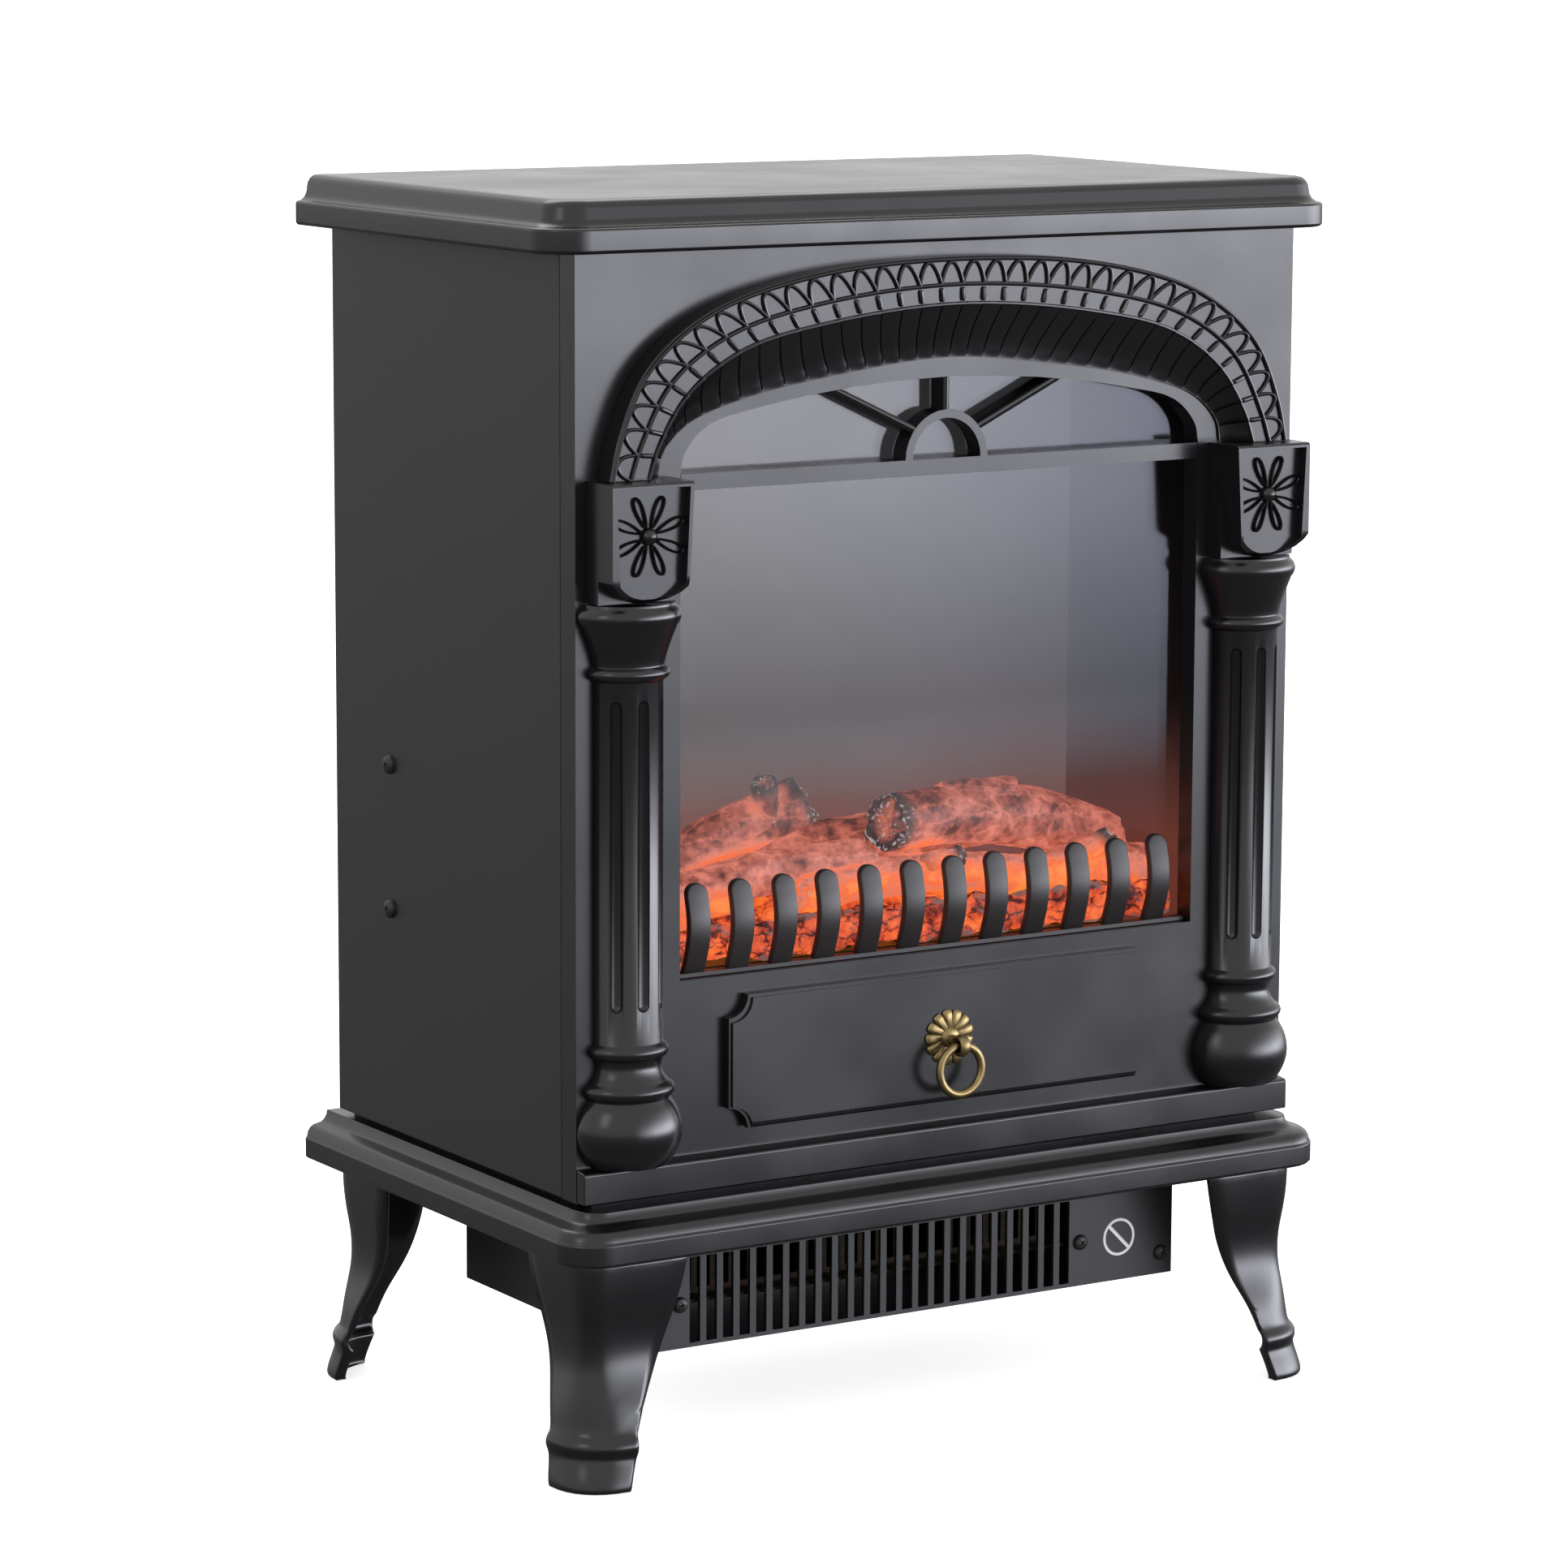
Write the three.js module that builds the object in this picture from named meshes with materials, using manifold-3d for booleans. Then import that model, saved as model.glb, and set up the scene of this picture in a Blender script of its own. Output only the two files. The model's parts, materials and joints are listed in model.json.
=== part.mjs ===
// A small free-standing electric stove: an arched window with a glowing log set behind it, a drop-down
// control flap with a ring pull, and a fan heater that hangs under the base slab and blows out to the front.
//
// Millimetres, +Z up, the front faces -Y. Inside this file y = 0 is the flat front face of the cabinet.
// The whole group is then shifted so that the origin is under the middle of the overall footprint.

import * as THREE from "three";
import { mergeVertices } from "three/addons/utils/BufferGeometryUtils.js";
import Module from "manifold-3d";

const wasm = await Module();
wasm.setup();

// ---------------------------------------------------------------- driving dimensions

const GAP = 0.3; // left between pieces that rest on each other
const SKIN = 3; // wall of the moulded pieces
const SHEET = 1.2; // folded steel sheet

const BODY = { halfWidth: 192.5, back: 225.3, bottom: 128, top: 545.9 };
const TOP_SLAB = { halfWidth: 210, front: -11.8, back: 227.7, bottom: 545.9, band: 557, top: 569, inset: 10.9 };
const BASE_SLAB = { halfWidth: 205.4, front: -23, back: 236, bottom: 102.9, band: 113.7, top: 125.4, inset: 11.6 };
const SLAB_CORNER = 19.3;
const SIDE_JOINT = 13; // y of the upright joint between the front moulding and the side sheets

const WINDOW = { halfWidth: 139.5, sill: 222.5, spring: 448, crown: 484.6 };
const REVEAL = 10.4; // depth of the window's moulded edge, from the face back to the pane
const PANE = { front: 10.8, thickness: 3, halfWidth: 148, bottom: 214, top: 492 };
const ARCH_PROUD = 11.5;

const COLUMN = { x: 167, depth: 0.9, bottom: 143.4, top: 394 };
const BLOCK = { x: 166.5, halfWidth: 20.6, proud: 23, bottom: 394.5, shoulder: 405, top: 447.6, rim: 2.1, sunk: 5 };
const BEAD = 4.1; // radius of the bead in the middle of each block's flower

const FINGERS = { count: 12, first: -128.6, pitch: 22.8, width: 10.9, thickness: 4, top: 265.3 };

const FLAP = { halfWidth: 116.8, bottom: 153, top: 214, thickness: 5.7, scoop: 10 };
const HINGE = { y: -3.15, z: 155.85, x: 95, lug: 3, round: 1.7, room: 2, widest: 68, pin: 1, bore: 1.35 };
const PULL = { z: 183.5, eyeY: -16, eyeZ: 181.2, wire: 1.9, radius: 11.3 };

const RECESS = { halfWidth: 106, bottom: 159, top: 208, back: 22 };
const HOUSING = { halfWidth: 147, front: 21, back: 184, bottom: 48.2, top: 102.6, wall: 1.5 };
const GRILLE = { first: -118.7, pitch: 8.84, count: 24, slot: 5.5, bottom: 50.2, top: 90 };
const BLOWER = { y: 92, z: 75, radius: 17, left: -118, right: 84 };
const SPINDLE = { y: 140, z: 234, shaft: 2, halfLength: 152 };
const LEG = { x: 199.5, y: 17.5, wall: 3.5 };

// ---------------------------------------------------------------- materials

function finish(color, roughness, metalness) {
  return new THREE.MeshStandardMaterial({ color, roughness, metalness });
}

const SATIN_BLACK = finish(0x3a3a3e, 0.42, 0.05);
const SHEET_BLACK = finish(0x3d3d3f, 0.55, 0.2);
const DARK_PLASTIC = finish(0x1d1d1f, 0.5, 0);
const BRASS = finish(0x9a7c46, 0.38, 0.9);
const STEEL = finish(0x9a9a9c, 0.35, 0.9);
const GLASS = finish(0x8a8c98, 0.08, 0);
const SMOKED = finish(0x55535a, 0.1, 0.1);
const EMBER = finish(0xff6a20, 0.6, 0);
const CHAR = finish(0xb0543a, 0.8, 0);
const BOARD = finish(0x2f5a3a, 0.6, 0);
const COPPER = finish(0x8a5a34, 0.45, 0.8);
const WHITE_SCREEN = finish(0xd9d4cc, 0.7, 0);

// ---------------------------------------------------------------- solids and booleans

function signedVolume(positions, index) {
  const a = new THREE.Vector3();
  const b = new THREE.Vector3();
  const c = new THREE.Vector3();
  let volume = 0;
  for (let i = 0; i < index.length; i += 3) {
    a.fromArray(positions, index[i] * 3);
    b.fromArray(positions, index[i + 1] * 3);
    c.fromArray(positions, index[i + 2] * 3);
    volume += a.dot(b.cross(c)) / 6;
  }
  return volume;
}

// A closed geometry as a solid whose faces point outwards.
function toSolid(geometry) {
  const bare = geometry.clone();
  bare.deleteAttribute("normal");
  bare.deleteAttribute("uv");
  const merged = mergeVertices(bare, 1e-4);
  const positions = new Float32Array(merged.attributes.position.array);
  const index = [];
  for (let i = 0; i < merged.index.count; i += 3) {
    const [a, b, c] = [0, 1, 2].map((k) => merged.index.getX(i + k));
    if (a !== b && b !== c && c !== a) index.push(a, b, c);
  }
  if (signedVolume(positions, index) < 0) index.reverse();
  return new wasm.Manifold(
    new wasm.Mesh({ numProp: 3, vertProperties: positions, triVerts: new Uint32Array(index) })
  );
}

function toGeometry(solid) {
  const mesh = solid.getMesh();
  const geometry = new THREE.BufferGeometry();
  geometry.setAttribute("position", new THREE.BufferAttribute(new Float32Array(mesh.vertProperties), 3));
  geometry.setIndex(new THREE.BufferAttribute(new Uint32Array(mesh.triVerts), 1));
  return geometry;
}

function join(...pieces) {
  return toGeometry(pieces.map(toSolid).reduce((sum, piece) => sum.add(piece)));
}

function cut(body, ...tools) {
  return toGeometry(tools.map(toSolid).reduce((rest, tool) => rest.subtract(tool), toSolid(body)));
}

function common(a, b) {
  return toGeometry(toSolid(a).intersect(toSolid(b)));
}

function mirrored(geometry) {
  return toGeometry(toSolid(geometry.clone().scale(-1, 1, 1)));
}

// ---------------------------------------------------------------- basic shapes

// A block between two corners, each given as [x, y, z].
function block(low, high) {
  const size = high.map((value, i) => value - low[i]);
  const middle = high.map((value, i) => (value + low[i]) / 2);
  return new THREE.BoxGeometry(...size).translate(...middle);
}

// Turns a shape built along +Z so that it lies along the named axis.
function turnTo(geometry, axis) {
  const bases = {
    x: [[0, 1, 0], [0, 0, 1], [1, 0, 0]],
    y: [[1, 0, 0], [0, 0, 1], [0, -1, 0]],
    z: [[1, 0, 0], [0, 1, 0], [0, 0, 1]],
  };
  const columns = bases[axis].map((v) => new THREE.Vector3(...v));
  return geometry.applyMatrix4(new THREE.Matrix4().makeBasis(...columns));
}

// A flat outline pushed along an axis. It is drawn in (y, z) for x, (x, z) for y and (x, y) for z.
function prism(shape, axis, from, to) {
  const geometry = new THREE.ExtrudeGeometry(shape, { depth: to - from, bevelEnabled: false, curveSegments: 8 });
  turnTo(geometry, axis);
  const shift = { x: [from, 0, 0], y: [0, to, 0], z: [0, 0, from] }[axis];
  return geometry.translate(...shift);
}

// A round bar along an axis. The centre is given in the same two coordinates as a prism's outline.
function bar(axis, radius, from, to, [u, v], sides = 20) {
  const shape = new THREE.Shape();
  for (let i = 0; i < sides; i += 1) {
    const angle = (2 * Math.PI * i) / sides;
    const point = [u + radius * Math.cos(angle), v + radius * Math.sin(angle)];
    if (i === 0) shape.moveTo(...point);
    else shape.lineTo(...point);
  }
  return prism(shape, axis, from, to);
}

function polygon(points) {
  return new THREE.Shape(points.map(([u, v]) => new THREE.Vector2(u, v)));
}

function rectangle(left, right, low, high) {
  return polygon([[left, low], [right, low], [right, high], [left, high]]);
}

// Points of an arc, from one angle to another in degrees.
function arc([cu, cv], radius, from, to, steps) {
  const points = [];
  for (let i = 0; i <= steps; i += 1) {
    const angle = THREE.MathUtils.degToRad(from + ((to - from) * i) / steps);
    points.push([cu + radius * Math.cos(angle), cv + radius * Math.sin(angle)]);
  }
  return points;
}

// ---------------------------------------------------------------- lofts

function loopNormal(loop) {
  const normal = new THREE.Vector3();
  loop.forEach((point, i) => {
    const next = loop[(i + 1) % loop.length];
    normal.x += (point.y - next.y) * (point.z + next.z);
    normal.y += (point.z - next.z) * (point.x + next.x);
    normal.z += (point.x - next.x) * (point.y + next.y);
  });
  return normal.normalize();
}

// Triangles that close a flat loop, all turning the same way as the loop.
function capTriangles(loop) {
  const normal = loopNormal(loop);
  const side = Math.abs(normal.z) < 0.9 ? new THREE.Vector3(0, 0, 1) : new THREE.Vector3(1, 0, 0);
  const u = new THREE.Vector3().crossVectors(side, normal).normalize();
  const v = new THREE.Vector3().crossVectors(normal, u);
  const flat = loop.map((p) => new THREE.Vector2(p.dot(u), p.dot(v)));
  return THREE.ShapeUtils.triangulateShape(flat, []).map(([a, b, c]) => {
    const turn = flat[b].clone().sub(flat[a]).cross(flat[c].clone().sub(flat[a]));
    return turn > 0 ? [a, b, c] : [a, c, b];
  });
}

// A solid through a row of loops that all have the same number of points.
function loft(loops) {
  const count = loops[0].length;
  const positions = loops.flat().flatMap((p) => [p.x, p.y, p.z]);
  const index = [];
  for (let i = 0; i + 1 < loops.length; i += 1) {
    for (let j = 0; j < count; j += 1) {
      const a = i * count + j;
      const b = i * count + ((j + 1) % count);
      index.push(a, b, b + count, a, b + count, a + count);
    }
  }
  const last = (loops.length - 1) * count;
  capTriangles(loops[0]).forEach(([a, b, c]) => index.push(a, c, b));
  capTriangles(loops.at(-1)).forEach(([a, b, c]) => index.push(last + a, last + b, last + c));
  const geometry = new THREE.BufferGeometry();
  geometry.setAttribute("position", new THREE.Float32BufferAttribute(positions, 3));
  geometry.setIndex(index);
  return geometry;
}

// ---------------------------------------------------------------- the model

const stove = new THREE.Group();
const names = [];

function add(name, geometry, material) {
  const mesh = new THREE.Mesh(toGeometry(toSolid(geometry)), material);
  mesh.name = name;
  names.push(name);
  stove.add(mesh);
  return mesh;
}

// ---- slabs

// How far each step of a moulded edge is set in, and how high it is, both from 0 to 1.
function edgeSteps(coveFirst) {
  const quarter = [0, 22.5, 45, 67.5, 90].map(THREE.MathUtils.degToRad);
  const cove = quarter.map((t) => [0.5 * Math.sin(t), 0.5 - 0.5 * Math.cos(t)]);
  const roll = quarter.map((t) => [0.5 - 0.5 * Math.cos(t), 0.5 * Math.sin(t)]);
  const raise = ([u, v]) => [u + 0.5, v + 0.5];
  return coveFirst ? [...cove, ...roll.slice(1).map(raise)] : [...roll, ...cove.slice(1).map(raise)];
}

// The slab's plan, set in at the front and the sides. The front corners are round, the back ones square.
function slabLoop(slab, inset, z) {
  const x = slab.halfWidth - inset;
  const y = slab.front + inset;
  const radius = SLAB_CORNER - 0.72 * inset;
  const left = arc([-x + radius, y + radius], radius, 180, 270, 6);
  const right = arc([x - radius, y + radius], radius, 270, 360, 6);
  return [[-x, slab.back], ...left, ...right, [x, slab.back]].map(([u, v]) => new THREE.Vector3(u, v, z));
}

function slab(size, coveFirst) {
  const height = size.top - size.band;
  const levels = [[1.2, size.bottom], [0, size.bottom + 1.2], [0, size.band - 0.8], [0.8, size.band]];
  edgeSteps(coveFirst).slice(1).forEach(([u, v]) => {
    levels.push([0.8 + u * (size.inset - 0.8), size.band + v * height]);
  });
  return loft(levels.map(([inset, z]) => slabLoop(size, inset, z)));
}

function topSlab() {
  const pocket = block([-188, 4, TOP_SLAB.bottom - 1], [188, 221, TOP_SLAB.top - 4]);
  return cut(slab(TOP_SLAB, true), pocket);
}

function baseSlab() {
  const pocket = block([-186, 6, BASE_SLAB.bottom + SKIN], [186, 220, BASE_SLAB.top + 1]);
  const wireWay = block([-40, 120, BASE_SLAB.bottom - 1], [40, 160, BASE_SLAB.top + 1]);
  return cut(slab(BASE_SLAB, false), pocket, wireWay);
}

add("top_slab", topSlab(), SATIN_BLACK);
add("base_slab", baseSlab(), SATIN_BLACK);

// ---- sheet cabinet

const SIDE_SCREWS = [300.4, 232.8];
const SIDE_SCREW_Y = 171.5;

function sidePanel() {
  const x = BODY.halfWidth;
  const low = BODY.bottom;
  const high = BODY.top - GAP;
  const front = SIDE_JOINT + GAP;
  const panel = join(
    block([x - SHEET, front, low], [x, BODY.back, high]),
    block([x - 9, front, low], [x - SHEET / 2, front + SHEET, high]),
    block([x - 11, BODY.back - SHEET, low], [x - SHEET / 2, BODY.back, high]),
    block([x - 9, front, low], [x - SHEET / 2, BODY.back, low + SHEET]),
    block([x - 9, front, BASE_SLAB.top + GAP], [x - 9 + SHEET, BODY.back, low + SHEET])
  );
  const holes = SIDE_SCREWS.map((z) => bar("x", 1.9, x - 5, x + 5, [SIDE_SCREW_Y, z], 12));
  return cut(panel, ...holes);
}

add("left_side_panel", mirrored(sidePanel()), SHEET_BLACK);
add("right_side_panel", sidePanel(), SHEET_BLACK);

function panHeadScrew() {
  const x = BODY.halfWidth;
  const profile = [[0, -9], [1.5, -9], [1.5, GAP], [4.4, GAP], [4.4, 1], [3.2, 2.2], [0, 2.6]];
  const turned = new THREE.LatheGeometry(profile.map(([r, h]) => new THREE.Vector2(r, h)), 12);
  turned.rotateZ(-Math.PI / 2);
  return turned.translate(x, SIDE_SCREW_Y, 0);
}

SIDE_SCREWS.forEach((z, i) => {
  const screw = panHeadScrew().translate(0, 0, z);
  const place = i === 0 ? "upper" : "lower";
  add(`left_${place}_side_screw`, mirrored(screw), DARK_PLASTIC);
  add(`right_${place}_side_screw`, screw, DARK_PLASTIC);
});

function rearPanel() {
  const x = BODY.halfWidth - 11.5;
  const y = BODY.back - SHEET;
  const sheet = block([-x, y, BASE_SLAB.top + GAP], [x, BODY.back, BODY.top - 1]);
  const slots = [];
  for (let row = 0; row < 2; row += 1) {
    for (let i = -4; i <= 4; i += 1) {
      const z = 470 + row * 34;
      slots.push(block([i * 14 - 3, y - 1, z], [i * 14 + 3, BODY.back + 1, z + 26]));
    }
  }
  const inletHole = bar("y", 8, y - 1, BODY.back + 1, [-150, 160], 20);
  return cut(sheet, ...slots, inletHole);
}

add("rear_panel", rearPanel(), SHEET_BLACK);

function cordInlet() {
  const profile = [[3.2, -8], [7.5, -8], [7.5, 3], [10, 3], [10, 6], [6, 9], [3.2, 9], [3.2, -8]];
  const points = profile.map(([r, h]) => new THREE.Vector2(r, h));
  return new THREE.LatheGeometry(points, 14).translate(-150, BODY.back - 2.4, 160);
}

add("cord_inlet", cordInlet(), DARK_PLASTIC);

// ---- window outline

// The right half of each arch line, from the spring to the crown, as [x, z]. The left half mirrors it.
// Points with the same place in each list lie on one radial section.
const ARCH_OUTER = [[181.5, 447.9], [177, 467], [163.5, 495], [133, 518.4], [80, 533.6], [0, 539]];
const ARCH_RIDGE = [[162, 447.9], [157.5, 461], [142.5, 483.5], [115, 501.5], [70, 512], [0, 518]];
const ARCH_SOFFIT = [[151, 447.9], [149, 457.5], [137, 469.5], [108, 479.5], [58, 488], [0, 493.3]];
const ARCH_OPENING = [[139.5, 448], [137.5, 457], [126, 468.5], [98, 475.6], [50, 482.2], [0, 484.6]];
const ARCH_STEPS = 40;

function archPoints(half) {
  const left = half.slice(0, -1).map(([x, z]) => [-x, z]).reverse();
  const through = [...half, ...left].map(([x, z]) => new THREE.Vector3(x, 0, z));
  return new THREE.CatmullRomCurve3(through).getPoints(ARCH_STEPS).map((p) => [p.x, p.z]);
}

// The window's outline, grown by a margin all round.
function windowShape(margin) {
  const grown = ARCH_OPENING.map(([x, z]) => {
    const reach = Math.hypot(x, z - 400);
    return [x + (margin * x) / reach, z + (margin * (z - 400)) / reach];
  });
  const x = WINDOW.halfWidth + margin;
  const low = WINDOW.sill - margin;
  return polygon([[-x, low], [x, low], [x, WINDOW.spring - 4], ...archPoints(grown), [-x, WINDOW.spring - 4]]);
}

// ---- front moulding

// A lug stands out of the face behind the flap's foot and holds a pin.
function hingeLug(sign) {
  const { y, z, round, lug } = HINGE;
  const profile = [[0.5, z - round], [0.5, z + round], ...arc([y, z], round, 90, 270, 6)];
  const low = sign * HINGE.x - lug / 2;
  return prism(polygon(profile), "x", low, low + lug);
}

function frontSurround() {
  const x = BODY.halfWidth;
  const low = BODY.bottom;
  const high = BODY.top - GAP;
  const plate = block([-x, 0, low], [x, SKIN, high]);
  const returns = [-1, 1].map((side) => {
    const edges = [side * x, side * (x - SKIN)].sort((a, b) => a - b);
    return block([edges[0], 1, low], [edges[1], SIDE_JOINT - GAP, high]);
  });
  const head = block([-x + 1, 1, high - SKIN], [x - 1, SIDE_JOINT - GAP, high]);
  const foot = join(
    block([-x + 1, 1, low], [x - 1, SIDE_JOINT - GAP, low + SKIN]),
    block([-x + 10, 4, BASE_SLAB.top + GAP], [x - 10, 10, low + 1])
  );
  const reveal = prism(windowShape(2.4), "y", 1, REVEAL);
  const windowWay = prism(windowShape(0), "y", -1, REVEAL + 1);
  const recessWay = block(
    [-RECESS.halfWidth, -1, RECESS.bottom],
    [RECESS.halfWidth, SKIN + 1, RECESS.top]
  );
  const pinHoles = bar("x", HINGE.pin + 0.05, -HINGE.x - HINGE.lug, HINGE.x + HINGE.lug, [HINGE.y, HINGE.z], 14);
  const shell = join(plate, ...returns, head, foot, reveal, hingeLug(1), hingeLug(-1));
  return cut(shell, windowWay, recessWay, pinHoles);
}

add("front_surround", frontSurround(), SATIN_BLACK);

function plinth() {
  const y = -GAP;
  const profile = [[y, 128.2], [-7.1, 128.2], [-7.1, 141.6], [-6.3, 142.5], [-1.2, 143.2], [y, 143.2]];
  return prism(polygon(profile), "x", -BODY.halfWidth, BODY.halfWidth);
}

add("plinth_moulding", plinth(), SATIN_BLACK);

// The arch moulding: a flat front band, then a wide hollow that sweeps back to the face round the window.
function archSurround() {
  const outer = archPoints(ARCH_OUTER);
  const ridge = archPoints(ARCH_RIDGE);
  const soffit = archPoints(ARCH_SOFFIT);
  const back = -GAP;
  const front = -ARCH_PROUD;
  const loops = outer.map((_, i) => {
    const at = (from, to, share, y) => {
      const x = from[i][0] + (to[i][0] - from[i][0]) * share;
      const z = from[i][1] + (to[i][1] - from[i][1]) * share;
      return new THREE.Vector3(x, y, z);
    };
    const hollow = [0.08, 0.3, 0.6, 0.85].map((share) => {
      return at(ridge, soffit, share, front + (ARCH_PROUD - 1.2) * Math.sin((share * Math.PI) / 2));
    });
    return [
      at(outer, outer, 0, back),
      at(outer, outer, 0, front + 1),
      at(outer, ridge, 0.05, front),
      at(ridge, ridge, 0, front),
      ...hollow,
      at(soffit, soffit, 0, -1.2),
      at(soffit, soffit, 0, back),
    ];
  });
  return loft(loops);
}

add("arch_surround", archSurround(), SATIN_BLACK);

// ---- capital blocks

function capitalBlock() {
  const { halfWidth, proud, bottom, shoulder, top, rim, sunk } = BLOCK;
  const sag = shoulder - bottom;
  const radius = (halfWidth ** 2 + sag ** 2) / (2 * sag);
  const sweep = THREE.MathUtils.radToDeg(Math.asin(halfWidth / radius));
  const shieldOutline = (inset) => {
    const half = halfWidth - inset;
    const arcPoints = arc([0, bottom + radius], radius - inset, 270 - sweep, 270 + sweep, 12);
    const inside = arcPoints.filter(([u]) => Math.abs(u) <= half);
    return polygon([[-half, top - inset], ...inside, [half, top - inset]]);
  };
  const side = [
    [-GAP, bottom], [-11, bottom], ...arc([-11, bottom + 12], 12, 270, 180, 5).slice(1),
    [-proud, top - 1], [-proud + 1, top], [-GAP, top],
  ];
  const profiled = prism(polygon(side), "x", -halfWidth, halfWidth);
  const shield = join(
    prism(shieldOutline(0), "y", -proud - 1, -10),
    block([-halfWidth - 1, -10.5, bottom - 1], [halfWidth + 1, 0, top + 1])
  );
  const panel = prism(shieldOutline(rim), "y", -proud - 1, -proud + sunk);
  const bead = new THREE.SphereGeometry(BEAD, 14, 10).translate(0, -proud + sunk, 424.2);
  return join(cut(common(profiled, shield), panel), bead).translate(BLOCK.x, 0, 0);
}

add("left_capital_block", mirrored(capitalBlock()), SATIN_BLACK);
add("right_capital_block", capitalBlock(), SATIN_BLACK);

// ---- half-round columns

// Half-widths of the turned column by height, from the floor of the bun up to the block.
const COLUMN_PROFILE = [
  [18.6, 143.4], [22, 147.5], [24.5, 153], [25.3, 160], [24.4, 167], [21.6, 172.6], [19.6, 174.6],
  [21.2, 175.6], [21.9, 177.8], [21.2, 180], [18.8, 181.8], [16.9, 185], [16, 190], [16.3, 191.9],
  [18.4, 192.6], [19, 195.2], [18.4, 197.8], [16.6, 198.8], [16.6, 360], [18.8, 360.8], [19.6, 363.4],
  [18.8, 366], [17.4, 367], [18.4, 372], [20.6, 378.5], [23, 384], [24.6, 387], [24.4, 390.4], [22.4, 392.4],
  [22, 394],
];
const FLUTE = { half: 3, low: 214, high: 352, sunk: 1.6 };

function halfRound(halfWidth, z) {
  return arc([0, 0], 1, 180, 360, 11).map(([u, v]) => {
    return new THREE.Vector3(u * halfWidth, v * halfWidth * COLUMN.depth - GAP, z);
  });
}

function flute(degrees) {
  const outline = polygon([
    ...arc([0, FLUTE.high - FLUTE.half], FLUTE.half, 0, 180, 5),
    ...arc([0, FLUTE.low + FLUTE.half], FLUTE.half, 180, 360, 5),
  ]);
  const cutter = prism(outline, "y", -20, -COLUMN.depth * 16.6 + FLUTE.sunk);
  return cutter.rotateZ(THREE.MathUtils.degToRad(degrees));
}

function column() {
  const turned = loft(COLUMN_PROFILE.map(([halfWidth, z]) => halfRound(halfWidth, z)));
  return cut(turned, flute(-44), flute(0), flute(44)).translate(COLUMN.x, 0, 0);
}

add("left_column", mirrored(column()), SATIN_BLACK);
add("right_column", column(), SATIN_BLACK);

// ---- window tracery and log fender

function spoke(from, to, width) {
  const length = Math.hypot(to[0] - from[0], to[1] - from[1]);
  const half = width / 2;
  const section = polygon([[-half, REVEAL], ...arc([0, half], half, 180, 360, 6), [half, REVEAL]]);
  const rod = prism(section, "z", 0, length);
  rod.rotateY(Math.atan2(to[0] - from[0], to[1] - from[1]));
  return rod.translate(from[0], 0, from[1]);
}

function tracery() {
  const rail = rectangle(-150, 150, 440.6, 447.9);
  const ringOutline = new THREE.Shape();
  arc([0, 447.8], 22.1, 0, 180, 16).forEach((p, i) => (i ? ringOutline.lineTo(...p) : ringOutline.moveTo(...p)));
  arc([0, 447.8], 18.3, 180, 0, 16).forEach((p) => ringOutline.lineTo(...p));
  const bars = join(
    prism(rail, "y", 0, REVEAL),
    prism(ringOutline, "y", 0, REVEAL),
    spoke([0, 468], [0, 490], 3.6),
    spoke([-16.5, 461.2], [-65, 483.8], 3.9),
    spoke([16.5, 461.2], [65, 483.8], 3.9)
  );
  return common(bars, prism(windowShape(-GAP), "y", -1, REVEAL + 1));
}

add("window_tracery", tracery(), SATIN_BLACK);

// One fender finger: a flat strip with a round head, bowed forwards in the middle.
function finger() {
  const low = WINDOW.sill + 0.8;
  const rows = 9;
  const loops = [];
  for (let i = 0; i <= rows; i += 1) {
    const share = i / rows;
    const z = low + (FINGERS.top - low) * share;
    const y = 5.6 - 2.1 * share - 4.6 * Math.sin(Math.PI * share) ** 1.1;
    const intoHead = Math.max(0, (z - (FINGERS.top - FINGERS.width / 2)) / (FINGERS.width / 2));
    const half = (FINGERS.width / 2) * Math.sqrt(Math.max(0.06, 1 - intoHead ** 2));
    const deep = y + FINGERS.thickness;
    loops.push([[-half, y], [half, y], [half, deep], [-half, deep]].map(([u, v]) => new THREE.Vector3(u, v, z)));
  }
  return loft(loops);
}

function fender() {
  const rail = block([-138.6, 3.6, WINDOW.sill + GAP], [138.6, 9.4, WINDOW.sill + 1.6]);
  const fingers = [];
  for (let i = 0; i < FINGERS.count; i += 1) {
    fingers.push(finger().translate(FINGERS.first + i * FINGERS.pitch, 0, 0));
  }
  return join(rail, ...fingers);
}

add("log_fender", fender(), SATIN_BLACK);

// ---- pane, firebox, log set

function pane() {
  const { halfWidth, front, thickness, bottom, top } = PANE;
  return block([-halfWidth, front, bottom], [halfWidth, front + thickness, top]);
}

add("window_pane", pane(), GLASS);

const FIREBOX = { halfWidth: 152.7, front: 14.2, back: 120, bottom: 213, top: 494 };

function fireboxLiner() {
  const { halfWidth, front, back, bottom, top } = FIREBOX;
  const outer = block([-halfWidth, front, bottom], [halfWidth, back, top]);
  const inner = block(
    [-halfWidth + SHEET, front - 1, bottom + SHEET],
    [halfWidth - SHEET, back + 1, top - SHEET]
  );
  return cut(outer, inner);
}

add("firebox_liner", fireboxLiner(), SHEET_BLACK);

const SCREEN_WIDTH = FIREBOX.halfWidth - 1;
add("fire_mirror", block([-SCREEN_WIDTH, 120.4, 214], [SCREEN_WIDTH, 123.4, 493]), SMOKED);
add("flame_screen", block([-SCREEN_WIDTH, 168, 214], [SCREEN_WIDTH, 170, 493]), WHITE_SCREEN);

function emberBed() {
  const profile = [
    [16, 214.5], [16, 226], [20, 233], [30, 238], [46, 236], [62, 239], [80, 236], [98, 240], [104, 238], [104, 214.5],
  ];
  const shell = prism(polygon(profile), "x", -142, 142);
  return cut(shell, block([-136, 22, 214], [136, 98, 228]));
}

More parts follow.
